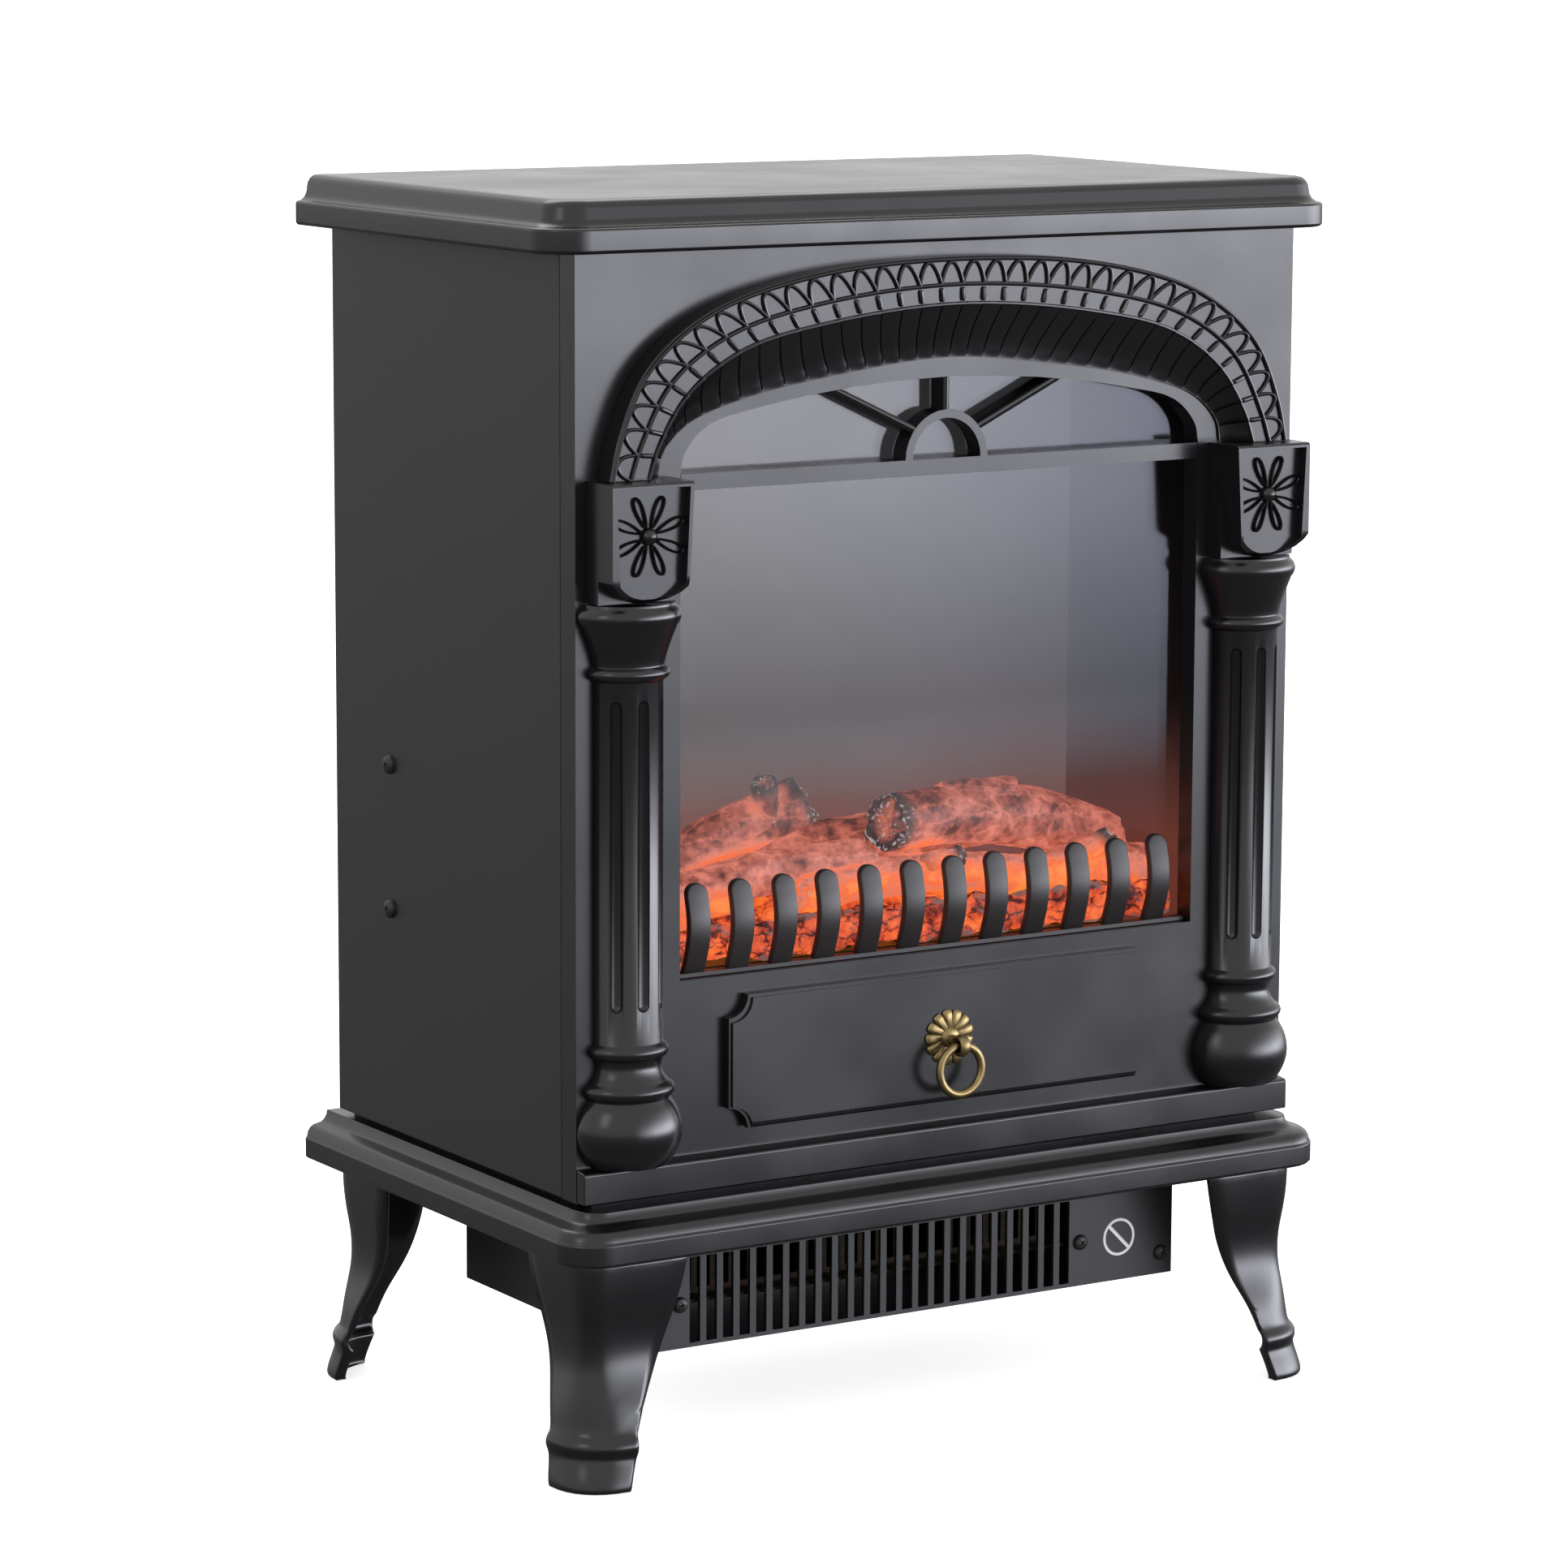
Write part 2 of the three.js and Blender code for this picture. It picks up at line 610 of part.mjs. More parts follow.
add("ember_bed", emberBed(), EMBER);

const LAMP = { low: 214.5, high: 216.1 };
const lampDots = [-105, -75, -45, -15, 15, 45, 75, 105].map((x) => {
  return block([x - 2.5, 57.5, LAMP.low + 1], [x + 2.5, 62.5, LAMP.high + 1.6]);
});
add("ember_lamp_board", join(block([-125, 50, LAMP.low], [125, 70, LAMP.high]), ...lampDots), BOARD);

// A log is a tapered round bar between two points, with a branch stub if it has one.
function logBar(from, to, startRadius, endRadius, sides = 12) {
  const a = new THREE.Vector3(...from);
  const b = new THREE.Vector3(...to);
  const log = new THREE.CylinderGeometry(endRadius, startRadius, a.distanceTo(b), sides, 3);
  const along = b.clone().sub(a).normalize();
  log.applyQuaternion(new THREE.Quaternion().setFromUnitVectors(new THREE.Vector3(0, 1, 0), along));
  const middle = a.add(b).multiplyScalar(0.5);
  return log.translate(middle.x, middle.y, middle.z);
}

const BED_CLEAR = block([-146, 10, 200], [146, 110, 240.4]);
const LOGS = {
  log_right: [[2, 44, 272], [132, 62, 254], 13.5, 16],
  log_left: [[-134, 62, 252], [-46, 52, 290], 13, 12],
  log_front: [[-128, 32, 250], [36, 30, 251.6], 9.5, 8],
  log_back: [[-60, 92, 254], [96, 94, 262], 13, 11],
};

function logPieces() {
  const grow = 0.35;
  const made = [];
  Object.entries(LOGS).forEach(([name, [from, to, startRadius, endRadius]]) => {
    const earlier = made.map((other) => {
      const [a, b, r0, r1] = LOGS[other];
      return logBar(a, b, r0 + grow, r1 + grow);
    });
    add(name, cut(logBar(from, to, startRadius, endRadius), BED_CLEAR, ...earlier), CHAR);
    made.push(name);
  });
}

logPieces();

// ---- flame effect

// A tall plate stands in the base slab beside the firebox and carries one end of the spindle.
function spindleBracket(sign) {
  const x = sign * 153;
  const floor = BASE_SLAB.bottom + SKIN + GAP;
  const thick = 1.5;
  const edges = [x, x + sign * thick].sort((a, b) => a - b);
  const footEdges = [x, x + sign * 14].sort((a, b) => a - b);
  const plate = block([edges[0], 60, floor], [edges[1], 186, 262]);
  const foot = block([footEdges[0], 60, floor], [footEdges[1], 186, floor + thick]);
  const shaftWay = bar("x", SPINDLE.shaft + 0.6, edges[0] - 1, edges[1] + 1, [SPINDLE.y, SPINDLE.z], 16);
  return cut(join(plate, foot), shaftWay);
}

add("left_spindle_bracket", spindleBracket(-1), STEEL);
add("right_spindle_bracket", spindleBracket(1), STEEL);

function spindleMotor() {
  const can = bar("x", 23, 155.2, 171, [SPINDLE.y, SPINDLE.z], 28);
  const bush = bar("x", 4, 154.9, 156, [SPINDLE.y, SPINDLE.z], 16);
  const shaftWay = bar("x", SPINDLE.shaft + 0.4, 150, 163, [SPINDLE.y, SPINDLE.z], 16);
  return cut(join(can, bush), shaftWay);
}

add("spindle_motor", spindleMotor(), STEEL);
add("spindle_rod", bar("x", SPINDLE.shaft, -157, 162, [SPINDLE.y, SPINDLE.z], 14), STEEL);

// Reflector: a hub with bent tongues that throw moving light on the screen.
function reflector(from, to) {
  const axis = [SPINDLE.y, SPINDLE.z];
  const hub = bar("x", 4, from, to, axis, 14);
  const tongues = [];
  for (let i = 0; i < 4; i += 1) {
    const start = from + 6 + i * ((to - from - 18) / 3);
    const blade = block([0, -0.6, -15], [9, 0.6, 15]).rotateX(i * 0.8);
    tongues.push(blade.translate(start, ...axis));
  }
  const bore = bar("x", SPINDLE.shaft + GAP, from - 1, to + 1, axis, 14);
  return cut(join(hub, ...tongues), bore);
}

add("left_reflector", reflector(-132, -6), STEEL);
add("right_reflector", reflector(6, 132), STEEL);

const flameLamps = [-100, -60, -20, 20, 60, 100].map((x) => {
  return block([x - 2.5, 137.5, 206.5], [x + 2.5, 142.5, 209.6]);
});
add("flame_lamp_board", join(block([-152.6, 128, 205], [152.6, 152, 206.8]), ...flameLamps), BOARD);

// ---- controls behind the flap

const SWITCHES = { flame: -62, heat: -28, z: 183.5, halfWidth: 6.5, halfHeight: 9.5 };
const KNOB = { x: 44, z: 183.5, radius: 13 };

function controlPanel() {
  const { halfWidth, bottom, top, back } = RECESS;
  const wall = 2.2;
  const outer = block([-halfWidth - wall, SKIN + GAP, bottom - wall], [halfWidth + wall, back + wall, top + wall]);
  const inner = block([-halfWidth, 0, bottom], [halfWidth, back, top]);
  const ways = ["flame", "heat"].map((name) => {
    const x = SWITCHES[name];
    return block(
      [x - SWITCHES.halfWidth - 1.6, back - 1, SWITCHES.z - SWITCHES.halfHeight - 1.6],
      [x + SWITCHES.halfWidth + 1.6, back + 5, SWITCHES.z + SWITCHES.halfHeight + 1.6]
    );
  });
  const shaftWay = bar("y", 5.2, back - 1, back + 5, [KNOB.x, KNOB.z], 20);
  return cut(outer, inner, ...ways, shaftWay);
}

add("control_panel", controlPanel(), DARK_PLASTIC);

const ROCKER = { y: RECESS.back + 1.5, tilt: 8 };

function switchBody(x) {
  const { halfWidth, halfHeight, z } = SWITCHES;
  const face = RECESS.back;
  const body = join(
    block([x - halfWidth - 1.3, face, z - halfHeight - 1.3], [x + halfWidth + 1.3, face + 15, z + halfHeight + 1.3]),
    block([x - halfWidth - 3, face - 1.6, z - halfHeight - 3], [x + halfWidth + 3, face - GAP, z + halfHeight + 3]),
    block([x - halfWidth - 1.3, face - 1, z - halfHeight - 1.3], [x + halfWidth + 1.3, face + 1, z + halfHeight + 1.3])
  );
  const well = block([x - halfWidth, face - 3, z - halfHeight], [x + halfWidth, face + 9, z + halfHeight]);
  return cut(body, well);
}

function rocker(x) {
  const half = SWITCHES.halfHeight - 0.9;
  const profile = [[-3, 0], [-4.9, half], [1.5, half * 0.86], [3.6, 0], [1.5, -half * 0.86], [-4.9, -half]];
  const turned = prism(polygon(profile), "x", -SWITCHES.halfWidth + GAP, SWITCHES.halfWidth - GAP);
  turned.rotateX(THREE.MathUtils.degToRad(-ROCKER.tilt));
  return turned.translate(x, ROCKER.y, SWITCHES.z);
}

["flame", "heat"].forEach((name) => {
  add(`${name}_switch_body`, switchBody(SWITCHES[name]), DARK_PLASTIC);
  add(`${name}_switch_rocker`, rocker(SWITCHES[name]), SATIN_BLACK);
});

function thermostatBody() {
  const back = RECESS.back + 2.2;
  return join(
    block([KNOB.x - 15, back + GAP, KNOB.z - 13], [KNOB.x + 15, back + 16, KNOB.z + 13]),
    bar("y", 4.6, back - 2, back + 1, [KNOB.x, KNOB.z], 18),
    bar("y", 3, 14, back + 1, [KNOB.x, KNOB.z], 18)
  );
}

function thermostatKnob() {
  const profile = [[0, 2], [9, 2], [11.4, 3.4], [12, 12], [KNOB.radius, 13], [KNOB.radius, 15.8], [0, 15.8]];
  const cap = new THREE.LatheGeometry(profile.map(([r, h]) => new THREE.Vector2(r, h)), 22);
  cap.translate(KNOB.x, 4.6, KNOB.z);
  const socket = bar("y", 3.3, 13.4, 21, [KNOB.x, KNOB.z], 18);
  const pointer = block([KNOB.x - 0.7, 5.6, KNOB.z + 2], [KNOB.x + 0.7, 7.2, KNOB.z + 8.6]);
  return cut(cap, socket, pointer);
}

add("thermostat_body", thermostatBody(), DARK_PLASTIC);
add("thermostat_knob", thermostatKnob(), SATIN_BLACK);

// ---- drop-down flap and ring pull

function flapOutline(inset) {
  const x = FLAP.halfWidth - inset;
  const low = FLAP.bottom;
  const high = FLAP.top - inset;
  const r = FLAP.scoop + inset * 0.4;
  return polygon([
    ...arc([-x, low], r, 90, 0, 6),
    ...arc([x, low], r, 180, 90, 6),
    ...arc([x, high], r, 270, 180, 6),
    ...arc([-x, high], r, 0, -90, 6),
  ]);
}

const PIN_HALF = 7.5;

// Room for a lug in the back of the flap's foot. It is open behind and below, as far as the flap turns.
function knucklePocket(sign) {
  const { y, z, room, lug, widest } = HINGE;
  const turned = (widest * Math.PI) / 180;
  const drop = 3.4;
  const slope = (drop - room * Math.cos(turned)) / Math.tan(turned);
  const profile = [
    [1, z + room],
    ...arc([y, z], room, 90, 270 - widest, 8),
    [y - room * Math.sin(turned) + slope, z - drop],
    [1, z - drop],
  ];
  const low = sign * HINGE.x - lug / 2 - GAP;
  return prism(polygon(profile), "x", low, low + lug + 2 * GAP);
}

function flap() {
  const back = -GAP;
  const front = back - FLAP.thickness;
  const slabPart = join(
    prism(flapOutline(0), "y", front + 1.2, back),
    prism(flapOutline(1.4), "y", front, front + 2)
  );
  const roundEdge = [
    [back, FLAP.top + 1], [front - 1, FLAP.top + 1], [front - 1, HINGE.z],
    ...arc([HINGE.y, HINGE.z], FLAP.thickness / 2, 180, 360, 10),
  ];
  const rounding = prism(polygon(roundEdge), "x", -FLAP.halfWidth - 1, FLAP.halfWidth + 1);
  const pocket = block([-104, -2.6, 161], [104, 1, 207]);
  const boss = bar("y", 6, -3, back, [0, PULL.z], 16);
  const reach = HINGE.x + PIN_HALF + GAP;
  const bores = bar("x", HINGE.bore, -reach, reach, [HINGE.y, HINGE.z], 14);
  const mouth = bar("y", 1.8, front - 1, 1, [0, PULL.z], 14);
  const knuckles = [knucklePocket(-1), knucklePocket(1)];
  return cut(join(cut(common(slabPart, rounding), pocket), boss), bores, mouth, ...knuckles);
}

add("control_flap", flap(), SATIN_BLACK);

// The pins lie in the flap's own bore on both sides of a lug and turn in the lug.
function flapPin(sign) {
  const middle = sign * HINGE.x;
  return bar("x", HINGE.pin, middle - PIN_HALF, middle + PIN_HALF, [HINGE.y, HINGE.z], 14);
}

add("left_flap_pin", flapPin(-1), STEEL);
add("right_flap_pin", flapPin(1), STEEL);

const FLAP_FACE = -GAP - FLAP.thickness;

function rosette() {
  const face = FLAP_FACE - GAP;
  const petals = 13;
  const outline = [];
  for (let i = 0; i < petals * 4; i += 1) {
    const angle = (2 * Math.PI * i) / (petals * 4);
    const radius = 12.5 + 0.7 * Math.cos(angle * petals);
    outline.push([radius * Math.cos(angle), PULL.z + radius * Math.sin(angle)]);
  }
  const plate = prism(polygon(outline), "y", face - 2, face);
  return cut(plate, bar("y", 3.3, face - 3, face + 1, [0, PULL.z], 16));
}

add("pull_rosette", rosette(), BRASS);

// The eye is a short barrel with a cross hole that the ring hangs in, on a stem through the flap.
function pullPost() {
  const stem = bar("y", 1.5, FLAP_FACE - 1, 1.6, [0, PULL.z], 14);
  const neck = bar("y", 3, PULL.eyeY + 3, FLAP_FACE - GAP, [0, PULL.z], 14);
  const barrel = bar("x", 4.5, -2.5, 2.5, [PULL.eyeY, PULL.eyeZ], 20);
  const hole = bar("x", 2.4, -4, 4, [PULL.eyeY, PULL.eyeZ], 20);
  return cut(join(stem, neck, barrel), hole);
}

add("pull_post", pullPost(), BRASS);

function pullRing() {
  const ring = new THREE.TorusGeometry(PULL.radius, PULL.wire, 10, 28);
  ring.rotateX(Math.PI / 2);
  return ring.translate(0, PULL.eyeY, PULL.eyeZ - PULL.radius);
}

add("pull_ring", pullRing(), BRASS);

// ---- fan heater under the base

function heaterHousing() {
  const { halfWidth, front, back, bottom, top, wall } = HOUSING;
  const low = front + 2.3;
  const outer = block([-halfWidth, low, bottom], [halfWidth, back, top]);
  const inner = block([-halfWidth + wall, low - 1, bottom + wall], [halfWidth - wall, back - wall, top - wall]);
  const intake = [];
  for (let i = 0; i < 12; i += 1) {
    const x = -77 + i * 14;
    intake.push(block([x, back - 3, 60], [x + 6, back + 1, 92]));
  }
  const wireWay = block([-38, 122, top - 3], [38, 158, top + 1]);
  return cut(outer, inner, ...intake, wireWay);
}

add("heater_housing", heaterHousing(), SHEET_BLACK);

function outletGrille() {
  const { halfWidth, front, bottom, top } = HOUSING;
  const plate = prism(rectangle(-halfWidth, halfWidth, bottom, top), "y", front, front + 2);
  const slots = [];
  for (let i = 0; i < GRILLE.count; i += 1) {
    const x = GRILLE.first + i * GRILLE.pitch;
    slots.push(block([x - GRILLE.slot / 2, front - 1, GRILLE.bottom], [x + GRILLE.slot / 2, front + 3, GRILLE.top]));
  }
  return cut(plate, ...slots);
}

add("outlet_grille", outletGrille(), SHEET_BLACK);

// The finned element in its frame, on the shelf that parts the outlet from the space below.
function heatingElement() {
  const floor = HOUSING.bottom + HOUSING.wall + GAP;
  const frame = block([-124, 34, 69], [90, 48, 92]);
  const shelf = join(
    block([-126, 25, 67.6], [92, 66, 69.2]),
    block([-126, 25, floor], [-124.5, 66, 69]),
    block([90.5, 25, floor], [92, 66, 69])
  );
  const ways = [];
  for (let i = 0; i < 21; i += 1) {
    const x = -120 + i * 10;
    ways.push(block([x, 33, 72], [x + 7, 49, 89]));
  }
  return cut(join(frame, shelf), ...ways);
}

add("heating_element", heatingElement(), COPPER);

// The cage: two discs with a ring of blades between them, on one shaft.
function impeller() {
  const axis = [BLOWER.y, BLOWER.z];
  const discs = [BLOWER.left, (BLOWER.left + BLOWER.right) / 2, BLOWER.right - 1.6];
  const plates = discs.map((x) => bar("x", BLOWER.radius, x, x + 1.6, axis, 18));
  const blades = [];
  for (let i = 0; i < 12; i += 1) {
    const blade = block([BLOWER.left + 0.5, -0.5, BLOWER.radius - 5.8], [BLOWER.right - 0.5, 0.5, BLOWER.radius - 0.8]);
    blade.rotateX((2 * Math.PI * i) / 12);
    blades.push(blade.translate(0, ...axis));
  }
  const shaft = bar("x", 2, BLOWER.left - 6, BLOWER.right + 12, axis, 12);
  return join(...plates, ...blades, shaft);
}

add("blower_impeller", impeller(), STEEL);

// The scroll wraps behind and over the cage and carries its far bearing.
function blowerScroll() {
  const axis = [BLOWER.y, BLOWER.z];
  const inner = BLOWER.radius + 3;
  const outerArc = arc(axis, inner + 1.5, -60, 118, 10);
  const innerArc = arc(axis, inner, 118, -60, 10);
  const shell = prism(polygon([...outerArc, ...innerArc]), "x", BLOWER.left - 3.5, BLOWER.right + 3.5);
  const floor = HOUSING.bottom + HOUSING.wall + GAP;
  const ends = [BLOWER.left - 4.6, BLOWER.right + 3].map((x) => {
    const disc = join(
      bar("x", inner + 1.5, x, x + 1.6, axis, 20),
      block([x, BLOWER.y - 12, floor], [x + 1.6, BLOWER.y + 12, BLOWER.z])
    );
    return cut(disc, bar("x", 2.5, x - 1, x + 3, axis, 12));
  });
  return join(shell, ...ends);
}

add("blower_scroll", blowerScroll(), STEEL);

function blowerMotor() {
  const axis = [BLOWER.y, BLOWER.z];
  const from = BLOWER.right + 6;
  const can = bar("x", 16, from, from + 34, axis, 26);
  const floor = HOUSING.bottom + HOUSING.wall + GAP;
  const core = block([from + 8, BLOWER.y - 21, floor], [from + 24, BLOWER.y + 21, BLOWER.z + 23]);
  return cut(join(can, core), bar("x", 2.5, from - 1, from + 9, axis, 14));
}

add("blower_motor", blowerMotor(), STEEL);
add("thermal_cutout", join(bar("z", 8, 93, 100, [60, 41], 20), block([50, 36, 99.6], [70, 46, 100.8])), STEEL);

// ---- legs

// Height, how far the corner is set in, how long each wing is, and how square the corner is:
// 2 is a quarter circle, 9 nearly a right angle.
const LEG_PROFILE = [
  [102.6, 3.6, 53, 9], [92, 3.8, 51, 9], [80, 5.2, 46.2, 9], [70, 6.9, 41.4, 8.5], [60, 7.2, 37, 7.5],
  [52, 6.2, 34.4, 6], [44, 4, 32.4, 4.4], [36, 1.4, 30.6, 3], [27, -0.4, 28.8, 2.4], [24, -1, 28.6, 2.4],
  [22.4, -3, 30, 2.4], [19.4, -4, 30.8, 2.4], [16.4, -3.2, 30, 2.4], [14.6, -2.4, 28.6, 2.4],
  [8, -4, 28, 2.4], [1.5, -5.4, 27.6, 2.4], [0, -4.6, 26.6, 2.4],
];
const FOOT_TOP = 15;
const FOOT_THICKER = 2;

function legLoop(height, inset, wing, square) {
  const centre = [LEG.x - inset - wing, -LEG.y + inset + wing];
  const wall = height < FOOT_TOP ? LEG.wall + FOOT_THICKER : LEG.wall;
  const curve = (reach) => {
    const points = [];
    for (let i = 0; i <= 8; i += 1) {
      const angle = (Math.PI / 2) * (i / 8);
      const u = reach * Math.sin(angle) ** (2 / square);
      const v = reach * Math.cos(angle) ** (2 / square);
      points.push([centre[0] + u, centre[1] - v]);
    }
    return points;
  };
  const plan = [...curve(wing), ...curve(wing - wall).reverse()];
  return plan.map(([x, y]) => new THREE.Vector3(x, y, height));
}

function leg() {
  return loft(LEG_PROFILE.map((row) => legLoop(...row)));
}

const FOOTPRINT_MIDDLE = (BASE_SLAB.front + BASE_SLAB.back) / 2;

function toBack(geometry) {
  const turned = geometry.clone().translate(0, -FOOTPRINT_MIDDLE, 0).scale(1, -1, 1);
  return toGeometry(toSolid(turned.translate(0, FOOTPRINT_MIDDLE, 0)));
}

add("front_left_leg", mirrored(leg()), SATIN_BLACK);
add("front_right_leg", leg(), SATIN_BLACK);
add("back_left_leg", mirrored(toBack(leg())), SATIN_BLACK);
add("back_right_leg", toBack(leg()), SATIN_BLACK);

stove.position.y = -FOOTPRINT_MIDDLE;
stove.updateMatrixWorld(true);

export default stove;
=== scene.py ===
# %% [markdown]
# # An electric stove fire, dressed for the studio
# The frame that this lesson starts from is a small stove with its joints already worked out. Everything
# here is in metres, Z is up and the window faces -Y. Each step below looks at one piece of the real
# stove, says how it could be made in Blender, and then makes it.

# %% Load the frame
import math

import bmesh
import bpy
from mathutils import Matrix, Vector
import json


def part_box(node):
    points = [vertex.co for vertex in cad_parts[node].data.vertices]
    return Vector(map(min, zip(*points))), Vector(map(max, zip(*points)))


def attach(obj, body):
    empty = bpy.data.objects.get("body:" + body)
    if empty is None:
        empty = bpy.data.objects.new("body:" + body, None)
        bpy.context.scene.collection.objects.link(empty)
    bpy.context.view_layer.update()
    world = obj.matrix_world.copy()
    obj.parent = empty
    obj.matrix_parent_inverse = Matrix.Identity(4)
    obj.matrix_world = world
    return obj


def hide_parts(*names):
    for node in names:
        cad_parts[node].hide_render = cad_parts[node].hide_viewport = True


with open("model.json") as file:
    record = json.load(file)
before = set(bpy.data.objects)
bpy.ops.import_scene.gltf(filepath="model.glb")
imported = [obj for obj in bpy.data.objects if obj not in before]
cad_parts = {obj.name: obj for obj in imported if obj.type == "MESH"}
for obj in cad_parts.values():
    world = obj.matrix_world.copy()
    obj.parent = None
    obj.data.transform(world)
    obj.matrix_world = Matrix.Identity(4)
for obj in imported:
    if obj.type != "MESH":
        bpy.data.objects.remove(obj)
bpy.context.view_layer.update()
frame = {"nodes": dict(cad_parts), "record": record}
nodes = frame["nodes"]

# %% [markdown]
# ## A drawing frame in millimetres
# Sizes on a stove are easier to read in millimetres from its flat front face, so one helper turns such
# a point into the frame's metres. The tracery starts exactly at that face, so its box tells where it is.

# %% Millimetre helpers
MM = 0.001
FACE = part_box("window_tracery")[0].y


def at(x, y, z):
    return Vector((x * MM, FACE + y * MM, z * MM))


print("front face lies at y =", round(FACE, 4))

# %% [markdown]
# ## The camera and its light
# The stove is seen from its left front corner, a little from above, through a long lens that keeps the
# uprights parallel. The light is a plain white studio: a bright dome that holds a soft light on the right
# front that grazes the moulded face, one wide panel above for the top, and a dim one on the left so the side stays
# dark.

# %% Camera
CAMERA_PLACE = at(-1385.7, -2076.7, 709.6)
AZIMUTH, ELEVATION, ROLL = math.radians(-32.05), math.radians(9.34), math.radians(0.25)
back = Vector((
    math.sin(AZIMUTH) * math.cos(ELEVATION),
    -math.cos(AZIMUTH) * math.cos(ELEVATION),
    math.sin(ELEVATION),
))
across = Vector((0, 0, 1)).cross(back).normalized()
up = back.cross(across)
right = across * math.cos(ROLL) + up * math.sin(ROLL)
camera_data = bpy.data.cameras.new("studio_camera")
camera_data.lens = 128.0
camera_data.sensor_width = 36.0
camera_data.clip_end = 500.0
camera = bpy.data.objects.new("studio_camera", camera_data)
bpy.context.scene.collection.objects.link(camera)
turn = Matrix((right, back.cross(right), back)).transposed()
camera.matrix_world = Matrix.Translation(CAMERA_PLACE) @ turn.to_4x4()
bpy.context.scene.camera = camera
print("camera stands", round((CAMERA_PLACE - at(0, 0, 288)).length, 2), "m away")


# %% Colour helper: sRGB hex to linear
def paint(code, alpha=1.0):
    parts = [int(code[i:i + 2], 16) / 255 for i in (1, 3, 5)]
    linear = [p / 12.92 if p <= 0.04045 else ((p + 0.055) / 1.055) ** 2.4 for p in parts]
    return (*linear, alpha)


# %% [markdown]
# ## A helper for shader nodes
# The sky, the floor and every finish are built from the same few nodes, so one small function adds a
# node, sets it and links it. A second one draws a colour ramp, which turns a number into a colour.

# %% Node helper


def node(tree, kind, settings=None, **links):
    made = tree.nodes.new(kind)
    for key, value in (settings or {}).items():
        if key in made.inputs:
            made.inputs[key].default_value = value
        else:
            setattr(made, key, value)
    for key, source in links.items():
        tree.links.new(source, made.inputs[key.replace("_", " ")])
    return made


def ramp(tree, source, *stops):
    made = node(tree, "ShaderNodeValToRGB", Fac=source)
    spots = made.color_ramp.elements
    while len(spots) < len(stops):
        spots.new(0.5)
    for spot, (where, colour) in zip(spots, stops):
        spot.position = where
        spot.color = colour
    return made.outputs["Color"]


def grey(value):
    return (value, value, value, 1)


# %% Light panels


def light_panel(name, place, target, size, radiance, colour="#ffffff"):
    """An area lamp whose face is as bright as said: its power grows with its area."""
    data = bpy.data.lights.new(name, "AREA")
    data.shape = "RECTANGLE"
    data.size, data.size_y = size
    data.energy = radiance * math.pi * size[0] * size[1]
    data.color = paint(colour)[:3]
    panel = bpy.data.objects.new(name, data)
    bpy.context.scene.collection.objects.link(panel)
    panel.location = place
    panel.rotation_euler = (Vector(target) - Vector(place)).to_track_quat("-Z", "Y").to_euler()
    return panel


light_panel("top_panel", (0.3, 1.2, 2.2), (0, 0, 0.5), (2.4, 1.2), 3)
light_panel("left_panel", (-2.4, -0.9, 1.5), (0, 0, 0.4), (0.8, 1.2), 2)

# %% [markdown]
# ## The dome and the big soft window
# Satin black shows hardly any colour of its own, only what it mirrors. So the dome is white overhead and
# falls to grey below the horizon. To the right front it holds one very large, cool soft light, brightest
# a little above the horizon and fading downwards. Its blurred image in the moulded face is what makes
# the cabinet pale under the arch and dark at its foot. The floor looks white but isn't mirrored.

# %% Dome
world = bpy.data.worlds.new("white_studio")
world.use_nodes = True
sky = world.node_tree
direction = node(sky, "ShaderNodeTexCoord").outputs["Generated"]
rise = node(sky, "ShaderNodeSeparateXYZ", Vector=direction).outputs["Z"]
level = node(sky, "ShaderNodeMapRange", {"From Min": -0.5, "From Max": 0.5}, Value=rise).outputs["Result"]
dome = ramp(sky, level, (0.0, grey(0.12)), (0.30, grey(0.26)), (0.44, grey(0.5)), (0.495, grey(1.0)),
            (0.8, grey(1.0)))
key_height = ramp(sky, level, (0.30, grey(0.0)), (0.34, grey(0.05)), (0.37, grey(0.26)), (0.40, grey(0.72)),
                  (0.435, grey(1.0)), (0.56, grey(1.0)), (0.66, grey(0.5)), (0.8, grey(0.15)), (1.0, grey(0.0)))
KEY_SIDE = Vector((1.75, -1.35, 0)).normalized()
facing = node(sky, "ShaderNodeVectorMath", {"operation": "DOT_PRODUCT"})
sky.links.new(direction, facing.inputs[0])
facing.inputs[1].default_value = KEY_SIDE
key_width = ramp(sky, facing.outputs["Value"], (0.6, grey(0.0)), (0.86, grey(0.5)), (0.97, grey(1.0)))
key = node(sky, "ShaderNodeMath", {"operation": "MULTIPLY"})
sky.links.new(key_height, key.inputs[0])
sky.links.new(key_width, key.inputs[1])
KEY_COLOUR = Vector((0.88, 0.90, 1.0)) * 10.5
tinted = node(sky, "ShaderNodeVectorMath", {"operation": "SCALE"})
tinted.inputs[0].default_value = KEY_COLOUR
sky.links.new(key.outputs[0], tinted.inputs["Scale"])
whole = node(sky, "ShaderNodeVectorMath", {"operation": "ADD"})
sky.links.new(dome, whole.inputs[0])
sky.links.new(tinted.outputs[0], whole.inputs[1])
sky.links.new(whole.outputs[0], sky.nodes["Background"].inputs["Color"])
sky.nodes["Background"].inputs["Strength"].default_value = 1.0
bpy.context.scene.world = world
bpy.context.scene.view_settings.view_transform = "Standard"

